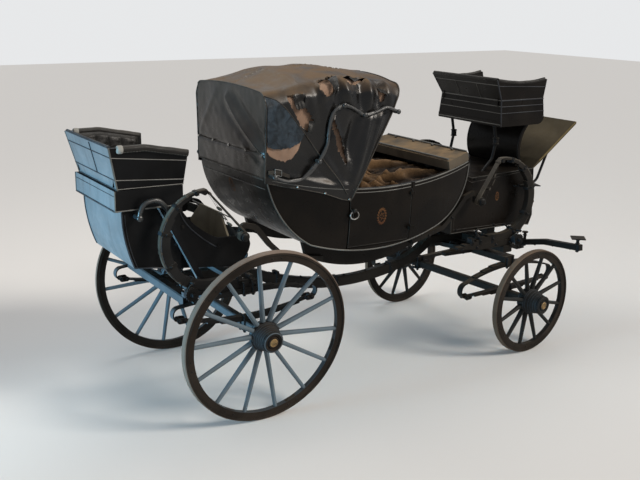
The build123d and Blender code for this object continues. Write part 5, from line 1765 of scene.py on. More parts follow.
@dataclass
class RumbleTrim:
    """Beads, rolls, pads, bolts and cushion of the rumble seat and the boot under it."""

    shop: Workshop
    back_low: Point = (-0.819, 0.362, 1.582)
    back_high: Point = (-0.886, 0.425, 1.861)
    front_low: float = -0.372
    front_high: float = -0.350
    pad_foot: float = 1.600

    def build(self) -> None:
        """Builds the rumble's pieces."""
        self.add_panel_beads()
        self.add_rolls()
        self.add_pads()
        self.add_boot_trim()
        self.add_bolts()
        self.add_step_edges()
        self.add_stays()
        self.add_cushion()

    def corner(self, z: float, end: str) -> Vector:
        """Point of the tub's rear or front corner at height z, on the left."""
        share = (z - self.back_low[2]) / (self.back_high[2] - self.back_low[2])
        half = self.back_low[1] + share * (self.back_high[1] - self.back_low[1])
        if end == "rear":
            return Vector((self.back_low[0] + share * (self.back_high[0] - self.back_low[0]), half, z))
        return Vector((self.front_low + share * (self.front_high - self.front_low), half, z))

    @staticmethod
    def rim(x: float) -> float:
        """Height of the tub's sloping side rim."""
        return between(((-0.886, 1.861), (-0.6537, 1.861), (-0.34, 1.800)), x)

    def add_panel_beads(self) -> None:
        """Thin raised lines across the back and along the sides, with the upright ones at the corners."""
        back, sides = [], {Side.RIGHT: [], Side.LEFT: []}
        for z, radius in ((1.800, 0.0036), (1.652, 0.0040), (1.589, 0.0040)):
            rear = self.corner(z, "rear")
            back.append(Bench.bead([at(rear.x - 0.001, y, z) for y in (-rear.y, 0.0, rear.y)], radius))
        low, high = self.corner(1.652, "rear"), self.corner(1.855, "rear")
        back.append(Bench.bead([at(low.x - 0.001, -0.067, low.z), at(high.x - 0.001, -0.067, high.z)], 0.0042))
        back.append(Bench.bead([at(-0.8435, y, 1.452) for y in (-0.372, 0.372)], 0.0055))
        back.append(Bench.bead([at(-0.8425, y, 1.548) for y in (-0.374, 0.374)], 0.0024))
        for side in Side:
            upright = [self.corner(z, "rear") for z in (1.582, 1.861)]
            sides[side].append(Bench.bead([side.at(p.x + 0.003, p.y - 0.003, p.z) for p in upright], 0.0065))
            for rear_z, front_z, radius in ((1.800, 1.742, 0.0034), (1.652, 1.617, 0.0036), (1.590, 1.585, 0.0036)):
                rear, ahead = self.corner(rear_z, "rear"), self.corner(front_z, "front")
                points = [side.at(p.x, p.y + 0.0005, p.z) for p in (rear, ahead)]
                sides[side].append(Bench.bead(points, radius))
            sides[side].append(Bench.bead([side.at(x, 0.3785, 1.453) for x in (-0.842, -0.382)], 0.0050))
            sides[side].append(Bench.bead([side.at(-0.8415, 0.3775, z) for z in (1.450, 1.582)], 0.0050))
        self.shop.sign_off(back, "rumble_back_beads", SLATE)
        lines = Finished("worn_line", slot="body_paint")
        for side in Side:
            self.shop.sign_off(sides[side], f"rumble_side_beads_{side.word}", lines)

    def add_rolls(self) -> None:
        """Stitched leather rolls on the side rims and a slim one over the back."""
        for side in Side:
            points = []
            for x in steps(-0.826, -0.352, 24):
                z = self.rim(x) - 0.012
                half = self.corner(z, "rear").y
                points.append(side.at(x, half - 0.004, z + 0.002 * wander(x, z, 0.0, 24.0)))
            roll = Bench.bead(points, 0.0245, sides=4)
            Bench.shape(roll, "SUBSURF", levels=1, render_levels=1)
            stitches = []
            for index in range(1, 24):
                stitch = Bench.block((0.013, 0.0026, 0.0026), 0.0008)
                low = points[index] + Vector((0.0, side.value * 0.0205, -0.0150))
                ahead = points[index] - points[index - 1]
                stitches.append(Bench.put(stitch, framed(low, side.out, ahead)))
            thread = Finished("worn_line", slot="black_leather")
            self.shop.sign_off(stitches, f"rumble_roll_stitches_{side.word}", thread)
            self.shop.sign_off(roll, f"rumble_arm_roll_{side.word}", ROLLED)
            profile = (
                (0.0250, -0.030), (0.0262, -0.026), (0.0262, -0.004), (0.0230, 0.003), (0.0140, 0.008),
                (0.0050, 0.010),
            )
            tip = Bench.put(Bench.turned(profile, 24), framed(points[0], points[0] - points[1]))
            self.shop.sign_off(tip, f"rumble_roll_tip_{side.word}", Finished("pale_trim", slot="black_leather"))
        rear = self.corner(1.861, "rear")
        roll = Bench.bead([at(rear.x + 0.012, y, 1.863) for y in steps(-0.405, 0.405, 30)], 0.0125, sides=3)
        self.shop.sign_off(roll, "rumble_back_roll", Finished("slate_line", slot="black_leather"))

    def add_pads(self) -> None:
        """Buttoned pads inside the back and the two arms."""

        def back(u: float, v: float, depth: float) -> Vector:
            """Point of the back pad."""
            z = self.pad_foot + 0.245 * v
            rear = self.corner(z, "rear")
            return at(rear.x + 0.027 + depth, (1.0 - 2.0 * u) * (rear.y - 0.045), z)

        self.shop.padded_wall(back, "rumble_back_pad", (9, 3))
        for side in Side:

            def arm(u: float, v: float, depth: float, side: Side = side) -> Vector:
                """Point of an arm pad."""
                share = 1.0 - u if side is Side.LEFT else u
                x = -0.835 + (0.835 - 0.385) * share
                z = self.pad_foot + (self.rim(x) - 0.018 - self.pad_foot) * v
                return side.at(x, self.corner(z, "rear").y - 0.027 - depth, z)

            self.shop.padded_wall(arm, f"rumble_arm_pad_{side.word}", (5, 2))

    def add_boot_trim(self) -> None:
        """Edge beads of the boot's rear and sides, and of the foot well's walls."""
        profile = self.boot_profile()
        well = ((-0.398, 1.418), (-0.360, 1.330), (-0.245, 1.205), (-0.130, 1.120))
        for side in Side:
            beads = [
                Bench.bead([side.at(x, 0.3605, z) for x, z in profile], 0.0052),
                Bench.bead([side.at(x + 0.020, 0.3605, z) for x, z in profile[1:-1]], 0.0026),
                Bench.bead([side.at(x, 0.3308, z) for x, z in well], 0.0045, flowing=True),
            ]
            self.shop.sign_off(beads, f"hind_boot_beads_{side.word}", SLATE)

    def boot_profile(self) -> list[Flat]:
        """The boot's rear edge in side view, read off its solid from the top down."""
        points = []
        for z in steps(1.440, 1.030, 22):
            found = self.shop.reach(at(-1.6, 0.30, z), FORWARD, ("hind_boot",))
            if found is not None:
                points.append((found.x - REAR_AXLE.x - 0.001, z))
        return points

    def add_bolts(self) -> None:
        """Bolt heads on the foot well, the standards, the stays and the boot."""
        head = Bench.turned(((0.0140, 0.0), (0.0140, 0.003), (0.0095, 0.0035), (0.0095, 0.0085), (0.0060, 0.0100)), 18)
        places = (
            (-0.372, 0.330, 1.288), (-0.115, 0.330, 1.122), (-0.706, 0.376, 1.408), (-0.520, 0.403, 1.405),
            (-0.300, 0.403, 0.940), (-0.430, 0.403, 1.185),
        )
        bolts = []
        for side in Side:
            for x, half, z in places:
                found = self.shop.from_side(side, x, z, ("foot_well", "hind_boot", "hind_standards", "rumble_stays"))
                if found is not None and abs(abs(found.y) - half) <= 0.09:
                    bolts.append((found, side.out))
        self.shop.stud(head, bolts, "hind_bolts", IRONWORK)

    def add_stays(self) -> None:
        """Worn sleeves and end bosses on the bent stays at the boot's sides."""
        parts = []
        for side in Side:
            route = (
                (-0.706, 1.408), (-0.696, 1.452), (-0.668, 1.494), (-0.624, 1.509), (-0.580, 1.508),
                (-0.540, 1.478), (-0.505, 1.420),
            )
            parts.append(Bench.bead([side.at(x, 0.430, z) for x, z in route], 0.0155, flowing=True, sides=4))
            for x, z in (route[0], route[-1]):
                profile = ((0.0185, 0.0), (0.0200, 0.002), (0.0165, 0.008), (0.0070, 0.011), (0.0020, 0.0115))
                parts.append(Bench.put(Bench.turned(profile, 20), framed(side.at(x, 0.444, z), side.out)))
        self.shop.sign_off(parts, "rumble_stay_sleeves", Finished("hood_iron", slot="iron", crease=50.0))

    def add_step_edges(self) -> None:
        """The worn edge of the toe board."""
        low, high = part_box("toe_board")
        edge = [Vector((high.x - 0.006, y, high.z - 0.004)) for y in (low.y + 0.006, high.y - 0.006)]
        self.shop.sign_off(Bench.bead(edge, 0.0045), "toe_board_edge", Finished("worn_line", slot="board_wood"))

    def add_cushion(self) -> None:
        """The rumble's seat cushion."""
        low, high = (-0.768, -0.326, 1.5825), (-0.372, 0.326, 1.671)
        cushion = Cushion("rumble_cushions", "rumble_cushion", "buttoned_leather", "black_leather", low, high)
        cushion.build(self.shop)


# Running gear


KINGPIN = 2.365
STEER = math.radians(5.0)
SPRING_Y = 0.500
ELLIPTIC_Y = 0.520


def on_fore(x: float, y: float, z: float) -> Vector:
    """A place in the fore carriage's own axes, which stand turned about the kingpin."""
    return at(KINGPIN + x * math.cos(STEER) - y * math.sin(STEER), x * math.sin(STEER) + y * math.cos(STEER), z)


def along_fore(x: float, y: float) -> Vector:
    """A level direction in the fore carriage's own axes."""
    return on_fore(x, y, 0.0) - on_fore(0.0, 0.0, 0.0)


@dataclass(frozen=True)
class CSpring:
    """One end's C spring: centre, facing, tip angle and the bolt its brace runs to."""

    word: str
    centre: Flat
    back: int
    tip: float
    bolt: Flat
    outer: float = 0.333
    leaf: float = 0.012
    leaves: int = 5
    stagger: float = 17.0
    brace: float = 0.0082

    def radial(self, angle: float) -> Vector:
        """Unit direction in side view at an angle above the level of the bow's back."""
        turn = math.radians(angle if self.back > 0 else 180.0 - angle)
        return Vector((math.cos(turn), 0.0, math.sin(turn)))

    def thickness(self, angle: float) -> float:
        """Depth of the leaf pack at an angle."""
        count = sum(1 for index in range(self.leaves) if angle <= self.tip - self.stagger * index)
        return self.leaf * count

    def place(self, angle: float, radius: float, y: float) -> Vector:
        """Point at an angle and radius about the spring's centre."""
        out = self.radial(angle)
        return at(self.centre[0] + out.x * radius, y, self.centre[1] + out.z * radius)


REAR_C = CSpring("rear", (-0.270, 1.230), -1, 86.0, (-0.012, 1.217))
FRONT_C = CSpring("front", (2.300, 1.217), 1, 95.0, (2.071, 1.228))


@dataclass
class GearTrim:
    """Clips, bolts, U-bolts, keepers and plates of the springs, braces, perch and splinter bar."""

    shop: Workshop
    rear_bed: Flat = (0.578, 0.636)
    fore_bed: Flat = (0.3955, 0.4535)
    bar_x: float = 0.546

    def build(self) -> None:
        """Builds the gear's pieces."""
        for spring in (REAR_C, FRONT_C):
            self.add_spring_clips(spring)
            self.add_brace_trim(spring)
            self.add_jacks(spring)
        self.add_u_bolts("rear", at, 0.0, self.rear_bed, (0.672, 0.830, 0.905), "carriage")
        self.add_u_bolts("fore", on_fore, -0.020, self.fore_bed, (0.4895, 0.662, 0.735), "fore_carriage")
        self.add_eye_bolts("rear", at, 0.0, 0.500, 0.721, "carriage")
        self.add_eye_bolts("fore", on_fore, -0.020, 0.478, 0.483, "fore_carriage")
        self.add_perch_plates()
        self.add_bar_fittings()
        self.add_plate_bolts()
        self.add_boot_scrolls()
        self.add_iron_caps()
        self.add_iron_bolts()

    @staticmethod
    def bolt_head(radius: float) -> Thing:
        """A round washer with a domed head on it, standing on the origin."""
        rows = ((1.45, 0.0), (1.45, 0.25), (1.0, 0.28), (1.0, 0.75), (0.62, 1.02), (0.2, 1.1))
        return Bench.turned([(radius * wide, radius * tall) for wide, tall in rows], 16)

    def add_spring_clips(self, spring: CSpring) -> None:
        """Clips round the leaves of one end's C springs, each with a bolt on its outer face."""
        clips, slack = [], 0.002
        head = self.bolt_head(0.0075)
        for side in Side:
            for angle in (-64.0, -28.0, 14.0, 48.0, 76.0):
                thick = spring.thickness(angle) + 0.010
                out = spring.radial(angle)
                middle = spring.outer + spring.brace + slack - (thick + spring.brace + slack) / 2.0
                spot = spring.place(angle, middle, side.value * SPRING_Y)
                block = Bench.block((0.024, 0.055, thick + 0.010), 0.002)
                clips.append(Bench.put(block, framed(spot, out, LEFTWARD.cross(out))))
                face = spring.place(angle, middle, side.value * (SPRING_Y + 0.0275))
                clips.append(Bench.copy(head, framed(face, side.out)))
            foot = spring.centre[1] - spring.outer
            for run in (0.085, 0.215, 0.300):
                x = spring.centre[0] - spring.back * run
                block = Bench.block((0.030, 0.056, 0.070 - 0.06 * (run - 0.085)), 0.002)
                clips.append(Bench.put(block, Matrix.Translation(side.at(x, SPRING_Y, foot + 0.026))))
                face = side.at(x, SPRING_Y + 0.028, foot + 0.026)
                clips.append(Bench.copy(head, framed(face, side.out)))
            eye = Bench.turned(((0.0155, -0.027), (0.0155, 0.027)), 20)
            tip = spring.place(spring.tip - 0.5, spring.outer - 0.016, side.value * SPRING_Y)
            clips.append(Bench.put(eye, framed(tip, LEFTWARD)))
        Bench.drop(head)
        self.shop.sign_off(clips, f"{spring.word}_c_spring_clips", Finished("iron", slot="gear_paint"))

    def add_brace_trim(self, spring: CSpring) -> None:
        """Stitched welts along the braces and the keepers that hold their layers together."""
        over = spring.place(spring.tip + 2.0, spring.outer + 0.007, 0.0) - REAR_AXLE
        bolt = Vector((spring.bolt[0], 0.0, spring.bolt[1]))
        run = (bolt - over).normalized()
        out = LEFTWARD.cross(run) * (-spring.back)
        end = bolt + out * 0.034 - run * 0.030
        for side in Side:
            welts = []
            for offset in (-0.0165, 0.0165):
                y = side.value * SPRING_Y + offset
                turns = steps(-62.0, spring.tip + 2.0, 40)
                points = [spring.place(turn, spring.outer + 0.0072, y) for turn in turns]
                points.append(REAR_AXLE + Vector((end.x, y, end.z)) + out * 0.0002)
                welts.append(Bench.bead(points, 0.0011, sides=1))
            finished = Finished("rubbed_line", slot="strap_leather")
            self.shop.sign_off(welts, f"{spring.word}_brace_welts_{side.word}", finished)
            keepers = []
            for share in (0.10, 0.42, 0.74):
                spot = over.lerp(end, share)
                spot.y = side.value * SPRING_Y
                block = Bench.block((0.022, 0.050, 0.0135), 0.002)
                keepers.append(Bench.put(block, framed(REAR_AXLE + spot - out * 0.0035, out, run)))
            for angle in (-50.0, -8.0, 30.0, 64.0):
                spot = spring.place(angle, spring.outer + 0.0035, side.value * SPRING_Y)
                outward = spring.radial(angle)
                block = Bench.block((0.018, 0.049, 0.0125), 0.002)
                keepers.append(Bench.put(block, framed(spot, outward, LEFTWARD.cross(outward))))
            buckle = over.lerp(end, 0.56)
            ring = []
            for along, across in ((-0.026, -0.027), (0.026, -0.027), (0.026, 0.027), (-0.026, 0.027)):
                spot = REAR_AXLE + buckle + run * along + out * 0.0035
                ring.append(spot + Vector((0.0, side.value * SPRING_Y + across, 0.0)))
            keepers.append(Bench.bead(ring, 0.0036, closed=True))
            finished = Finished("strap_leather", slot="strap_leather")
            self.shop.sign_off(keepers, f"{spring.word}_brace_keepers_{side.word}", finished)
            profile = ((0.034, 0.0), (0.034, 0.004), (0.026, 0.006), (0.026, 0.016), (0.021, 0.020), (0.010, 0.0225))
            face = side.at(spring.bolt[0], 0.527, spring.bolt[1])
            cap = Bench.put(Bench.turned(profile), framed(face, side.out))
            self.shop.sign_off(cap, f"{spring.word}_loop_bolt_{side.word}", IRONWORK)

    def add_jacks(self, spring: CSpring) -> None:
        """Ratchet wheels, pawls and square ends of the drums that tighten the braces."""
        for side in Side:
            x, z = spring.centre[0] + spring.back * 0.150, spring.centre[1] - spring.outer - 0.002
            teeth = []
            for step in range(36):
                radius = 0.050 if step % 2 else 0.043
                turn = math.tau * step / 36 + (0.06 if step % 2 else 0.0)
                teeth.append(side.at(x + radius * math.cos(turn), 0.5695, z + radius * math.sin(turn)))
            wheel = Bench.plate(teeth, (0.0, side.value * 0.006, 0.0))
            square = Bench.put(Bench.block((0.020, 0.020, 0.020), 0.002), framed(side.at(x, 0.588, z), side.out))
            route = [side.at(x + dx, 0.574, z + dz) for dx, dz in ((0.010, 0.074), (-0.018, 0.062), (-0.031, 0.042))]
            pawl = Bench.bead(route, 0.0055, flowing=True)
            pivot = Bench.put(self.bolt_head(0.0085), framed(route[0], side.out))
            ends = [side.at(x + 0.010, 0.571, z + 0.074), side.at(x + 0.010, 0.526, z + 0.070)]
            parts = [wheel, square, pawl, pivot, Bench.bead(ends, 0.0070)]
            self.shop.sign_off(parts, f"{spring.word}_brace_ratchet_{side.word}", IRONWORK)

    def add_u_bolts(
        self, end: str, base: Callable[[float, float, float], Vector], middle: float, bed: Flat,
        heights: Point, body: str,
    ) -> None:
        """U-bolts, plates and nuts that hold the elliptic springs to the axle below and the iron above.

        Args:
            end: Name of the end.
            base: Turns places of that end into the frame.
            middle: Where the springs' middle lies, forward of the axle.
            bed: Bottom and top of the axle bed.
            heights: Top of the lower pack, bottom of the upper pack, top of the upper bolts.
            body: Which body carries the pieces.
        """
        pack_top, upper_low, nut_top = heights
        parts = []
        for side in Side:
            middle_y = side.value * ELLIPTIC_Y
            for low, high, plate_z in (
                (bed[0] - 0.010, pack_top + 0.004, bed[0] - 0.006), (upper_low - 0.004, nut_top, upper_low - 0.003),
            ):
                for x in (middle - 0.034, middle + 0.034):
                    for y in (middle_y - 0.031, middle_y + 0.031):
                        parts.append(Bench.bead([base(x, y, low - 0.010), base(x, y, high)], 0.0058))
                        nut = Bench.turned(((0.0105, 0.0), (0.0105, 0.009)), 6)
                        parts.append(Bench.put(nut, Matrix.Translation(base(x, y, low - 0.008))))
                    parts.append(Bench.bead([base(x, middle_y - 0.031, high), base(x, middle_y + 0.031, high)], 0.0058))
                corners = [
                    base(middle + dx, middle_y + dy, plate_z)
                    for dx, dy in ((-0.048, -0.040), (0.048, -0.040), (0.048, 0.040), (-0.048, 0.040))
                ]
                parts.append(Bench.plate(corners, (0.0, 0.0, 0.006), 0.001))
        self.shop.sign_off(parts, f"{end}_u_bolts", Finished("iron", body, "gear_paint"))

    def add_eye_bolts(
        self, end: str, base: Callable[[float, float, float], Vector], middle: float, eye_x: float, z: float, body: str
    ) -> None:
        """Bolt heads on the cheek plates at the spring eyes."""
        out = base(0.0, 1.0, 0.0) - base(0.0, 0.0, 0.0)
        bolts = []
        for side, sign, inward, across in product(Side, (-1, 1), (0.0, 0.034), (-1, 1)):
            x, y = middle + sign * (eye_x - inward), side.value * ELLIPTIC_Y + across * 0.0322
            bolts.append((base(x, y, z), out * across))
        self.shop.stud(self.bolt_head(0.0088), bolts, f"{end}_eye_bolts", replace(IRONWORK, body=body))

    def add_perch_plates(self) -> None:
        """Iron straps along the perch's underside and over its top, with bolts and bands."""
        low = arc_through((0.430, 0.690), (1.210, 0.562), (1.700, 0.628), 30)
        high = arc_through((0.470, 0.757), (1.210, 0.634), (1.660, 0.690), 30)
        parts = [
            Bench.strap([at(x, 0.0, z - 0.002) for x, z in low], LEFTWARD, 0.056, 0.005),
            Bench.strap([at(x, 0.0, z + 0.002) for x, z in high], LEFTWARD, 0.046, 0.004),
        ]
        head = self.bolt_head(0.0080)
        for (x, z), (top_x, top_z) in zip(low[2:30:5], high[2:30:5]):
            parts.append(Bench.copy(head, framed(at(x, 0.0, z - 0.0045), DOWN)))
            parts.append(Bench.copy(head, framed(at(top_x, 0.0, top_z + 0.004), UP)))
        for x, z, tall in ((0.520, 0.722, 0.088), (1.580, 0.640, 0.082), (1.060, 0.602, 0.084), (-0.300, 0.833, 0.080)):
            band = Bench.block((0.026, 0.071, tall), 0.002)
            parts.append(Bench.put(band, Matrix.Translation(at(x, 0.0, z))))
            for side in Side:
                parts.append(Bench.copy(head, framed(side.at(x, 0.0355, z), side.out)))
        Bench.drop(head)
        self.shop.sign_off(parts, "perch_ironwork", Finished("iron", slot="gear_paint"))

    def add_bar_fittings(self) -> None:
        """Bolts, bands and trace rings of the splinter bar, and bolts on the futchells."""
        route = ((-0.806, 0.784), (-0.440, 0.757), (-0.150, 0.689), (0.150, 0.689), (0.440, 0.757), (0.806, 0.784))
        parts = []
        head = self.bolt_head(0.0078)
        for y in (-0.700, -0.520, -0.330, 0.330, 0.520, 0.700):
            z = between(route, y)
            parts.append(Bench.copy(head, framed(on_fore(self.bar_x, y, z - 0.0235), DOWN)))
            parts.append(Bench.copy(head, framed(on_fore(0.5695, y, z), along_fore(1.0, 0.0))))
        for y in (-0.790, 0.790):
            band = Bench.block((0.052, 0.022, 0.052), 0.002)
            spot = on_fore(self.bar_x, y, between(route, y))
            parts.append(Bench.put(band, framed(spot, UP, along_fore(1.0, 0.0))))
        for half, heights, wide, rise in (
            (0.770, (0.812, 0.842), 0.0195, (0.002, 0.006, 0.008)),
            (0.215, (0.718, 0.764), 0.0190, (0.002, 0.007, 0.009)),
        ):
            for y, z in product((-half, half), heights):
                collar = Bench.turned(((0.013, 0.0), (wide, rise[0]), (wide, rise[1]), (0.013, rise[2])), 20)
                parts.append(Bench.put(collar, Matrix.Translation(on_fore(self.bar_x, y, z))))
        for side in Side:
            for x, z in ((0.560, 0.650), (0.520, 0.650), (0.300, 0.712), (0.120, 0.722), (-0.340, 0.730)):
                out = along_fore(0.0, 1.0) * side.value
                parts.append(Bench.copy(head, framed(on_fore(x, side.value * 0.172, z), out)))
        Bench.drop(head)
        self.shop.sign_off(parts, "bar_fittings", Finished("iron", "fore_carriage", "iron"))

    def add_plate_bolts(self) -> None:
        """Bolts round the upper wheel plate."""
        turns = [math.tau * (step + 0.5) / 8 for step in range(8)]
        places = [at(KINGPIN + 0.237 * math.cos(turn), 0.237 * math.sin(turn), 0.782) for turn in turns]
        self.shop.stud(self.bolt_head(0.0095), [(place, UP) for place in places], "wheel_plate_bolts", IRONWORK)

    def add_boot_scrolls(self) -> None:
        """Scrolled brackets between the boot's foot and the side irons."""
        parts = []
        for side in Side:
            for x0, turn in ((2.150, 1.0), (2.430, -1.0)):
                points = []
                for step in range(15):
                    swing = math.tau * 0.75 * step / 14
                    radius = 0.034 - 0.0016 * step
                    x, z = x0 - turn * radius * math.sin(swing), 0.942 + radius * math.cos(swing)
                    points.append(side.at(x, 0.415 + 0.045 * step / 14, z))
                points.append(side.at(x0 + turn * 0.020, 0.482, 0.905))
                points.append(side.at(x0 + turn * 0.028, 0.500, 0.888))
                parts.append(Bench.bead(points, 0.0085, flowing=True, sides=3))
                parts.append(Bench.bead([side.at(x0, 0.385, 0.976), side.at(x0, 0.418, 0.976)], 0.0085))
        self.shop.sign_off(parts, "boot_scrolls", Finished("iron", slot="gear_paint", crease=60.0))

    def add_iron_caps(self) -> None:
        """Domed caps on the knuckles of the hood irons and ferrules along them."""
        parts = []
        for side in Side:
            sleeve = [side.at(x, iron_half(z), z) for x, z in IRON_ROUTE]
            parts.append(Bench.bead(sleeve, 0.0112, flowing=True, sides=3))
            for index in (0, 3, 7, 9, 12):
                x, z = IRON_ROUTE[index]
                half = iron_half(z) + 0.014
                profile = ((0.0165, 0.0), (0.0180, 0.002), (0.0150, 0.007), (0.0080, 0.0105), (0.0030, 0.011))
                parts.append(Bench.put(Bench.turned(profile, 22), framed(side.at(x, half, z), side.out)))
            for index, share in ((2, 0.6), (4, 0.5), (6, 0.5), (8, 0.5), (10, 0.5)):
                (ax, az), (bx, bz) = IRON_ROUTE[index], IRON_ROUTE[index + 1]
                x, z = ax + (bx - ax) * share, az + (bz - az) * share
                half = iron_half(z)
                ferrule = Bench.turned(((0.0092, -0.012), (0.0128, -0.009), (0.0128, 0.009), (0.0092, 0.012)), 18)
                run = Vector((bx - ax, 0.0, bz - az))
                parts.append(Bench.put(ferrule, framed(side.at(x, half, z), run, LEFTWARD)))
        self.shop.sign_off(parts, "hood_iron_caps", Finished("hood_iron", slot="iron"))

    def add_iron_bolts(self) -> None:
        """Bolts through the side irons, loops and standards."""
        nodes = ("hind_side_irons", "front_side_irons", "body_loops", "boot_standards", "hind_standards")
        places = (
            (-0.420, 0.882), (-0.320, 0.882), (-0.120, 0.882), (0.060, 0.882), (0.250, 1.085), (0.450, 0.985),
            (1.600, 1.005), (1.820, 1.120), (1.900, 0.862), (2.050, 0.862), (2.250, 0.860), (2.400, 0.862),
        )
        spots = [(self.shop.from_side(side, x, z, nodes), side.out) for side in Side for x, z in places]
        bolts = [(spot, out) for spot, out in spots if spot is not None]
        self.shop.stud(self.bolt_head(0.0090), bolts, "gear_bolts", IRONWORK)


# Box seat and front boot


@dataclass
class BoxSeatTrim:
    """Beads, rolls, pads and cushion of the box seat, and the edges of the boot and footboard."""

    shop: Workshop
    pad_foot: float = 1.930
    rings: tuple[tuple[float, float, float, float], ...] = (
        (1.812, 2.355, 2.826, 0.382), (1.980, 2.364, 2.822, 0.363), (2.160, 2.269, 2.816, 0.401),
    )
    boot_outline: tuple[tuple[Flat, ...], ...] = (
        ((1.951, 1.446), (1.880, 1.200), (1.871, 0.962)), ((1.871, 0.962), (2.567, 0.962)),
        ((2.567, 0.962), (2.718, 0.940)), ((2.718, 0.940), (2.752, 1.020)), ((2.752, 1.020), (2.735, 1.417)),
        ((2.735, 1.417), (2.068, 1.402)), ((2.068, 1.402), (1.951, 1.446)),
    )

    def build(self) -> None:
        """Builds the box seat's pieces."""
        self.add_tub_beads()
        self.add_rolls()
        self.add_pads()
        self.add_riser_trim()
        self.add_boot_beads()
        self.add_footboard_edges()
        self.add_bolts()
        low, high = (2.399, -0.328, 1.8146), (2.810, 0.328, 1.923)
        cushion = Cushion("box_cushions", "box_cushion", "buttoned_leather", "black_leather", low, high)
        cushion.build(self.shop)

    def ring(self, z: float) -> Point:
        """Back x, front x and half width of the tub at height z."""
        columns = list(zip(*self.rings))
        return tuple(between(tuple(zip(columns[0], column)), z) for column in columns[1:])

    @staticmethod
    def rim(x: float) -> float:
        """Height of the tub's dipping rim."""
        return between(
            ((2.24, 2.1520), (2.32, 2.1367), (2.40, 2.1252), (2.48, 2.1176), (2.56, 2.1130), (2.64, 2.1150),
             (2.72, 2.1216), (2.80, 2.1350), (2.86, 2.1460)), x,
        )

    def add_tub_beads(self) -> None:
        """Raised lines round the tub's outside."""
        for side in Side:
            beads = []
            for rear_z, front_z, radius in (
                (2.098, 2.074, 0.0036), (1.980, 1.978, 0.0058), (1.932, 1.930, 0.0036), (1.880, 1.880, 0.0030),
            ):
                points = []
                for share in (0.0, 0.5, 1.0):
                    z = rear_z + (front_z - rear_z) * share
                    back, ahead, half = self.ring(z)
                    points.append(side.at(back + (ahead - back) * share, half + 0.0005, z))
                beads.append(Bench.bead(points, radius))
            corner = []
            for z in (1.776, 1.812, 1.980, 2.145):
                back, _, half = self.ring(z)
                corner.append(side.at(back + 0.002, half - 0.002, z))
            beads.append(Bench.bead(corner, 0.0055))
            ahead = []
            for z in (1.862, 1.980, 2.134):
                _, edge, half = self.ring(z)
                ahead.append(side.at(edge - 0.001, half - 0.008, z))
            beads.append(Bench.bead(ahead, 0.0075))
            self.shop.sign_off(beads, f"box_beads_{side.word}", SLATE)
        back = []
        for z, radius in ((2.104, 0.0036), (1.980, 0.0058), (1.934, 0.0036), (1.880, 0.0030), (1.790, 0.0050)):
            rear, _, half = self.ring(z)
            rear = min(rear, 2.352) if z < 1.812 else rear
            back.append(Bench.bead([at(rear - 0.0008, y, z) for y in (-half, 0.0, half)], radius))
        for y in (-0.128, 0.128):
            low, high = self.ring(1.986)[0], self.ring(2.098)[0]
            back.append(Bench.bead([at(low - 0.001, y, 1.986), at(high - 0.001, y, 2.098)], 0.0030))
        self.shop.sign_off(back, "box_back_beads", Finished("worn_line", slot="body_paint"))

    def add_rolls(self) -> None:
        """Leather rolls on the rim."""
        for side in Side:
            points = []
            for x in steps(2.292, 2.800, 24):
                z = self.rim(x)
                points.append(side.at(x, self.ring(z)[2] - 0.013, z + 0.002 + 0.002 * wander(x, z, 0.0, 24.0)))
            self.shop.sign_off(Bench.bead(points, 0.0145, sides=4), f"box_arm_roll_{side.word}", ROLLED)
        rear = self.ring(2.15)[0]
        points = [at(rear + 0.014, y, 2.149) for y in steps(-0.388, 0.388, 30)]
        self.shop.sign_off(Bench.bead(points, 0.0135, sides=3), "box_back_roll", ROLLED)

    def add_pads(self) -> None:
        """Buttoned pads inside the back and the two arms."""

        def back(u: float, v: float, depth: float) -> Vector:
            """Point of the back pad."""
            z = self.pad_foot + 0.200 * v
            rear, _, half = self.ring(z)
            return at(rear + 0.027 + depth, (1.0 - 2.0 * u) * (half - 0.045), z)

        self.shop.padded_wall(back, "box_back_pad", (9, 3))
        for side in Side:

            def arm(u: float, v: float, depth: float, side: Side = side) -> Vector:
                """Point of an arm pad."""
                share = 1.0 - u if side is Side.LEFT else u
                x = 2.352 + (2.712 - 2.352) * share
                z = self.pad_foot + (self.rim(x) - 0.018 - self.pad_foot) * v
                return side.at(x, self.ring(z)[2] - 0.027 - depth, z)

            self.shop.padded_wall(arm, f"box_arm_pad_{side.word}", (5, 2))

    def add_riser_trim(self) -> None:
        """Beads down the edges of the curved riser and bolts on the seat's stays."""
        rear = arc_through((2.668, 1.418), (2.628, 1.560), (2.714, 1.774), 20)
        beads = []
        for side in Side:
            beads.append(Bench.bead([side.at(x - 0.001, 0.309, z) for x, z in rear], 0.0048))
            for z in (1.620, 1.666):
                collar = Bench.turned(((0.020, 0.0), (0.026, 0.003), (0.026, 0.009), (0.020, 0.012)), 24)
                beads.append(Bench.put(collar, Matrix.Translation(side.at(2.4275, 0.262, z - 0.006))))
        self.shop.sign_off(beads, "box_riser_trim", IRONWORK)

    def add_boot_beads(self) -> None:
        """The bead round each side of the front boot."""
        points = []
        for run in self.boot_outline:
            stretch = arc_through(*run, 14) if len(run) == 3 else list(run)
            points.extend(stretch[:-1])
        middle = Vector((sum(p[0] for p in points) / len(points), sum(p[1] for p in points) / len(points)))
        for side in Side:
            beads = []
            for inset, radius in ((0.006, 0.0056), (0.034, 0.0028)):
                ring = []
                for x, z in points:
                    pull = middle - Vector((x, z))
                    reach = 1.0 - inset * 1.25 / pull.length
                    ring.append(side.at(middle.x - pull.x * reach, 0.4003, middle.y - pull.y * reach))
                beads.append(Bench.bead(ring, radius, closed=True))
            finished = Finished("rubbed_line", slot="body_paint")
            self.shop.sign_off(beads, f"front_boot_beads_{side.word}", finished)

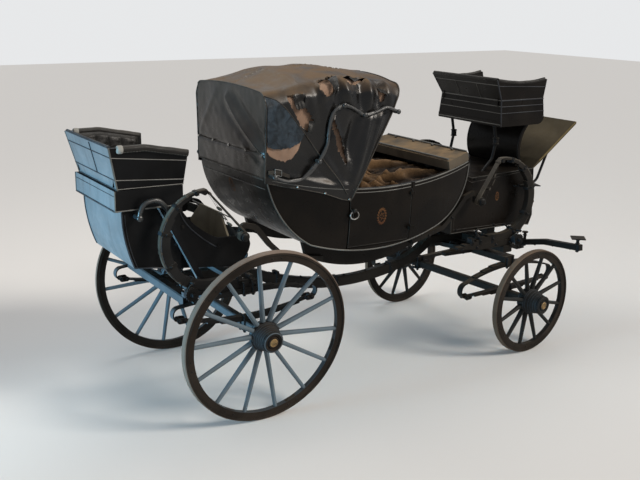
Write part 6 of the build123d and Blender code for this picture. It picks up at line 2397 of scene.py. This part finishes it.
    def add_footboard_edges(self) -> None:
        """Worn gilt strip along the footboard's sides and its front edge."""
        low, high = (2.7915, 1.4825), (3.1815, 1.7725)
        strips = []
        for side in Side:
            line = zip(steps(low[0], high[0], 8), steps(low[1], high[1], 8))
            strips.append(Bench.bead([side.at(x, 0.4005, z - 0.010) for x, z in line], 0.0060))
        strips.append(Bench.bead([at(3.1885, y, 1.7625) for y in (-0.400, 0.0, 0.400)], 0.0075))
        self.shop.sign_off(strips, "footboard_edges", Finished("worn_gilt", slot="board_wood"))

    def add_bolts(self) -> None:
        """Bolts on the boot's sides, steps and footboard irons."""
        head = Bench.turned(((0.0130, 0.0), (0.0130, 0.003), (0.0090, 0.0035), (0.0090, 0.0080), (0.0055, 0.0095)), 18)
        faces = ((2.292, 1.392), (2.100, 1.385), (2.690, 1.385), (2.700, 1.000), (1.930, 0.990), (2.330, 0.985))
        bolts = []
        for side in Side:
            bolts += [(side.at(x, 0.400, z), side.out) for x, z in faces]
            bolts += [(side.at(x, half, 1.293), UP) for x, half in ((2.560, 0.418), (2.660, 0.430))]
        self.shop.stud(head, bolts, "boot_bolts", IRONWORK)


# Wheels


@dataclass(frozen=True)
class WheelSize:
    """Measures of one size of wheel, about its own axis with Z outward."""

    end: str
    radius: float
    dish: float
    spokes: int
    turned: float
    nose: float
    nave_back: float


@dataclass
class WheelTrim:
    """Nave rings, brass caps, rivets and tyre lips, modelled once for each size of wheel."""

    shop: Workshop
    sizes: tuple[WheelSize, ...] = (
        WheelSize("rear", 0.600, 0.042, 14, 22.0, 0.088, -0.098),
        WheelSize("fore", 0.423, 0.022, 12, 16.0, 0.132, -0.058),
    )

    def build(self) -> None:
        """Models each size once and copies it to both sides."""
        joints = {joint["name"]: joint for joint in frame["joints"]}
        for size in self.sizes:
            patterns = self.patterns(size)
            for side in Side:
                joint = joints[f"{size.end}_wheel_{side.word}_turn"]
                out = Vector(joint["axis"]).normalized() * side.value
                hub = framed(Vector(joint["pos_m"]), out, self.forward(size))
                for word, (pattern, finish, slot) in patterns.items():
                    finished = Finished(finish, f"{size.end}_wheel_{side.word}", slot, 40.0)
                    self.shop.sign_off(Bench.copy(pattern, hub), f"{size.end}_{word}_{side.word}", finished)
            for pattern, _, _ in patterns.values():
                Bench.drop(pattern)

    @staticmethod
    def forward(size: WheelSize) -> Vector:
        """The wheel's own X, forward of its carriage."""
        return FORWARD if size.end == "rear" else Vector((math.cos(STEER), math.sin(STEER), 0.0))

    def patterns(self, size: WheelSize) -> dict[str, tuple[Thing, str, str]]:
        """The pieces of one size of wheel, at the origin."""
        belt = -size.dish
        rings = [
            Bench.ring(0.0980, 0.0034, belt + 0.026), Bench.ring(0.0980, 0.0034, belt - 0.026),
            Bench.ring(0.0938, 0.0034, belt + 0.040), Bench.ring(0.0870, 0.0030, belt - 0.041),
            Bench.ring(0.0720, 0.0036, size.nave_back + 0.010), Bench.ring(0.0722, 0.0030, size.nose - 0.026),
        ]
        cone = ((0.0925, belt + 0.040), (0.0720, size.nose - 0.026))
        for share in (0.28, 0.52, 0.76):
            radius = cone[0][0] + (cone[1][0] - cone[0][0]) * share
            rings.append(Bench.ring(radius, 0.0030, cone[0][1] + (cone[1][1] - cone[0][1]) * share))
        nose = [Bench.ring(0.0700, 0.0040, size.nose - 0.0075), Bench.ring(0.0580, 0.0042, size.nose - 0.001)]
        nose.append(Bench.ring(0.0700, 0.0034, size.nose - 0.0205))
        slots = []
        for step in range(6):
            turn = math.tau * step / 6
            notch = Bench.block((0.010, 0.007, 0.006), 0.001)
            place = Vector((0.0695 * math.cos(turn), 0.0695 * math.sin(turn), size.nose - 0.0135))
            out = Vector((math.cos(turn), math.sin(turn), 0.0))
            slots.append(Bench.put(notch, framed(place, out, UP)))
        profile = ((0.0300, -0.008), (0.0300, 0.0015), (0.0270, 0.0042), (0.0160, 0.0056), (0.0050, 0.0060))
        cap = [
            Bench.turned([(radius, size.nose + rise) for radius, rise in profile], 40),
            Bench.ring(0.0220, 0.0012, size.nose + 0.0050, 48),
            Bench.ring(0.0100, 0.0010, size.nose + 0.0058, 32),
        ]
        return {
            "nave_rings": (Bench.join(rings), "nave_paint", "wheel_paint"),
            "nose_ring": (Bench.join(nose + slots), "iron", "iron"),
            "hub_cap": (Bench.join(cap), "old_brass", "iron"),
            "felloe_rivets": (self.rivets(size), "gear_paint", "wheel_paint"),
            "tyre_lips": (self.lips(size), "gear_paint", "wheel_paint"),
        }

    @staticmethod
    def rivets(size: WheelSize) -> Thing:
        """Rivets and small plates at the felloe joints, midway between every second pair of spokes."""
        middle = size.radius - 0.020 - 0.023
        parts = []
        for joint in range(size.spokes // 2):
            turn = math.radians(size.turned + 360.0 * (2 * joint + 0.5) / size.spokes)
            for face in (-1, 1):
                for swing in (-0.034, 0.034):
                    angle = turn + swing / middle
                    place = Vector((middle * math.cos(angle), middle * math.sin(angle), face * 0.0178))
                    head = Bench.turned(((0.0075, 0.0), (0.0075, 0.0012), (0.0050, 0.0030), (0.0018, 0.0036)), 12)
                    parts.append(Bench.put(head, framed(place, UP * face)))
            inner = size.radius - 0.066
            spot = Vector((inner * math.cos(turn), inner * math.sin(turn), 0.0))
            plate = Bench.block((0.030, 0.090, 0.0035), 0.001)
            parts.append(Bench.put(plate, framed(spot, -Vector((math.cos(turn), math.sin(turn), 0.0)), UP)))
        return Bench.join(parts)

    @staticmethod
    def lips(size: WheelSize) -> Thing:
        """Channel lips that hold the tyre."""
        seat = size.radius - 0.0195
        return Bench.join([Bench.ring(seat, 0.0026, height, 120) for height in (0.0205, -0.0205)])


# Studio


@dataclass
class Studio:
    """Floor, backdrop, lamps and the camera."""

    floor_grey: Colour = (0.62, 0.61, 0.595)
    sky_light: Colour = (0.92, 0.95, 1.0)
    sky_strength: float = 0.52
    window_spread: float = 46.0
    backdrop: Colour = (0.80, 0.81, 0.82)
    camera_place: Point = (-2.766, -5.775, 2.796)
    heading: float = 32.50
    dip: float = 15.08
    roll: float = 0.74
    focal_pixels: float = 922.0
    frame_pixels: float = 640.0
    sensor: float = 36.0

    def build(self) -> None:
        """Sets up the whole studio."""
        self.add_floor()
        self.add_lamps()
        self.add_camera()
        view = bpy.context.scene.view_settings
        view.view_transform = "Standard"

    def add_floor(self) -> None:
        """Plain pale floor."""
        bpy.ops.mesh.primitive_plane_add(size=60.0, location=(0.0, 0.0, -0.001))
        floor = bpy.context.object
        floor.name = "studio_floor"
        shader = Shader("studio_floor")
        shader.fix("Base Color", self.floor_grey)
        shader.fix("Roughness", 0.9)
        floor.data.materials.append(shader.material)

    def add_lamps(self) -> None:
        """One large key from the front right, a cool window behind left and a soft fill."""
        world = bpy.data.worlds.new("studio")
        bpy.context.scene.world = world
        world.use_nodes = True
        tree = world.node_tree
        light = tree.nodes["Background"]
        light.inputs["Color"].default_value = (*self.sky_light, 1.0)
        light.inputs["Strength"].default_value = self.sky_strength
        backdrop = tree.nodes.new("ShaderNodeBackground")
        backdrop.inputs["Color"].default_value = (*self.backdrop, 1.0)
        path = tree.nodes.new("ShaderNodeLightPath")
        mix = tree.nodes.new("ShaderNodeMixShader")
        tree.links.new(path.outputs["Is Camera Ray"], mix.inputs[0])
        tree.links.new(light.outputs["Background"], mix.inputs[1])
        tree.links.new(backdrop.outputs["Background"], mix.inputs[2])
        tree.links.new(mix.outputs["Shader"], tree.nodes["World Output"].inputs["Surface"])
        lamps = (
            ("key", "SUN", (3.6, -4.6, 5.2), 0.3, 2.7, (1.0, 0.93, 0.84)),
            ("window", "AREA", (-6.6, -0.4, 1.1), 1.6, 36.0, (0.31, 0.72, 1.0)),
            ("top", "AREA", (-0.6, 1.8, 6.0), 3.0, 120.0, (1.0, 0.96, 0.90)),
        )
        for name, kind, place, size, power, colour in lamps:
            data = bpy.data.lights.new(name, kind)
            data.energy = power
            data.color = colour
            if kind == "SUN":
                data.angle = size
            else:
                data.size = size
                data.spread = math.radians(self.window_spread if name == "window" else 180.0)
            lamp = bpy.data.objects.new(name, data)
            lamp.location = place
            aim = Vector((-0.2, 0.0, min(1.0, place[2]))) - Vector(place)
            lamp.rotation_euler = aim.to_track_quat("-Z", "Y").to_euler()
            bpy.context.scene.collection.objects.link(lamp)

    def add_camera(self) -> None:
        """Camera at the photograph's place, heading and lens."""
        heading, dip, roll = (math.radians(value) for value in (self.heading, self.dip, self.roll))
        ahead = Vector((math.sin(heading) * math.cos(dip), math.cos(heading) * math.cos(dip), -math.sin(dip)))
        right = Vector((math.cos(heading), -math.sin(heading), 0.0))
        above = right.cross(ahead)
        rolled_right = right * math.cos(roll) + above * math.sin(roll)
        rolled_up = above * math.cos(roll) - right * math.sin(roll)
        turn = Matrix((rolled_right, rolled_up, -ahead)).transposed()
        data = bpy.data.cameras.new("camera")
        data.sensor_width = self.sensor
        data.lens = self.focal_pixels / self.frame_pixels * self.sensor
        camera = bpy.data.objects.new("camera", data)
        camera.matrix_world = Matrix.Translation(at(*self.camera_place)) @ turn.to_4x4()
        bpy.context.scene.collection.objects.link(camera)
        bpy.context.scene.camera = camera


def main() -> None:
    """Builds the carriage's finishes and pieces, then the studio."""
    bpy.ops.object.select_all(action="DESELECT")
    wardrobe = Wardrobe()
    wardrobe.make_all()
    wardrobe.dress_nodes()
    log.info("finishes ready")
    shop = Workshop(wardrobe.materials)
    BodyTrim(shop).build()
    CabinGoods(shop).build()
    HalfHood(shop).build()
    RumbleTrim(shop).build()
    GearTrim(shop).build()
    BoxSeatTrim(shop).build()
    WheelTrim(shop).build()
    Studio().build()
    log.info("studio ready")


if __name__ == "__main__":
    main()
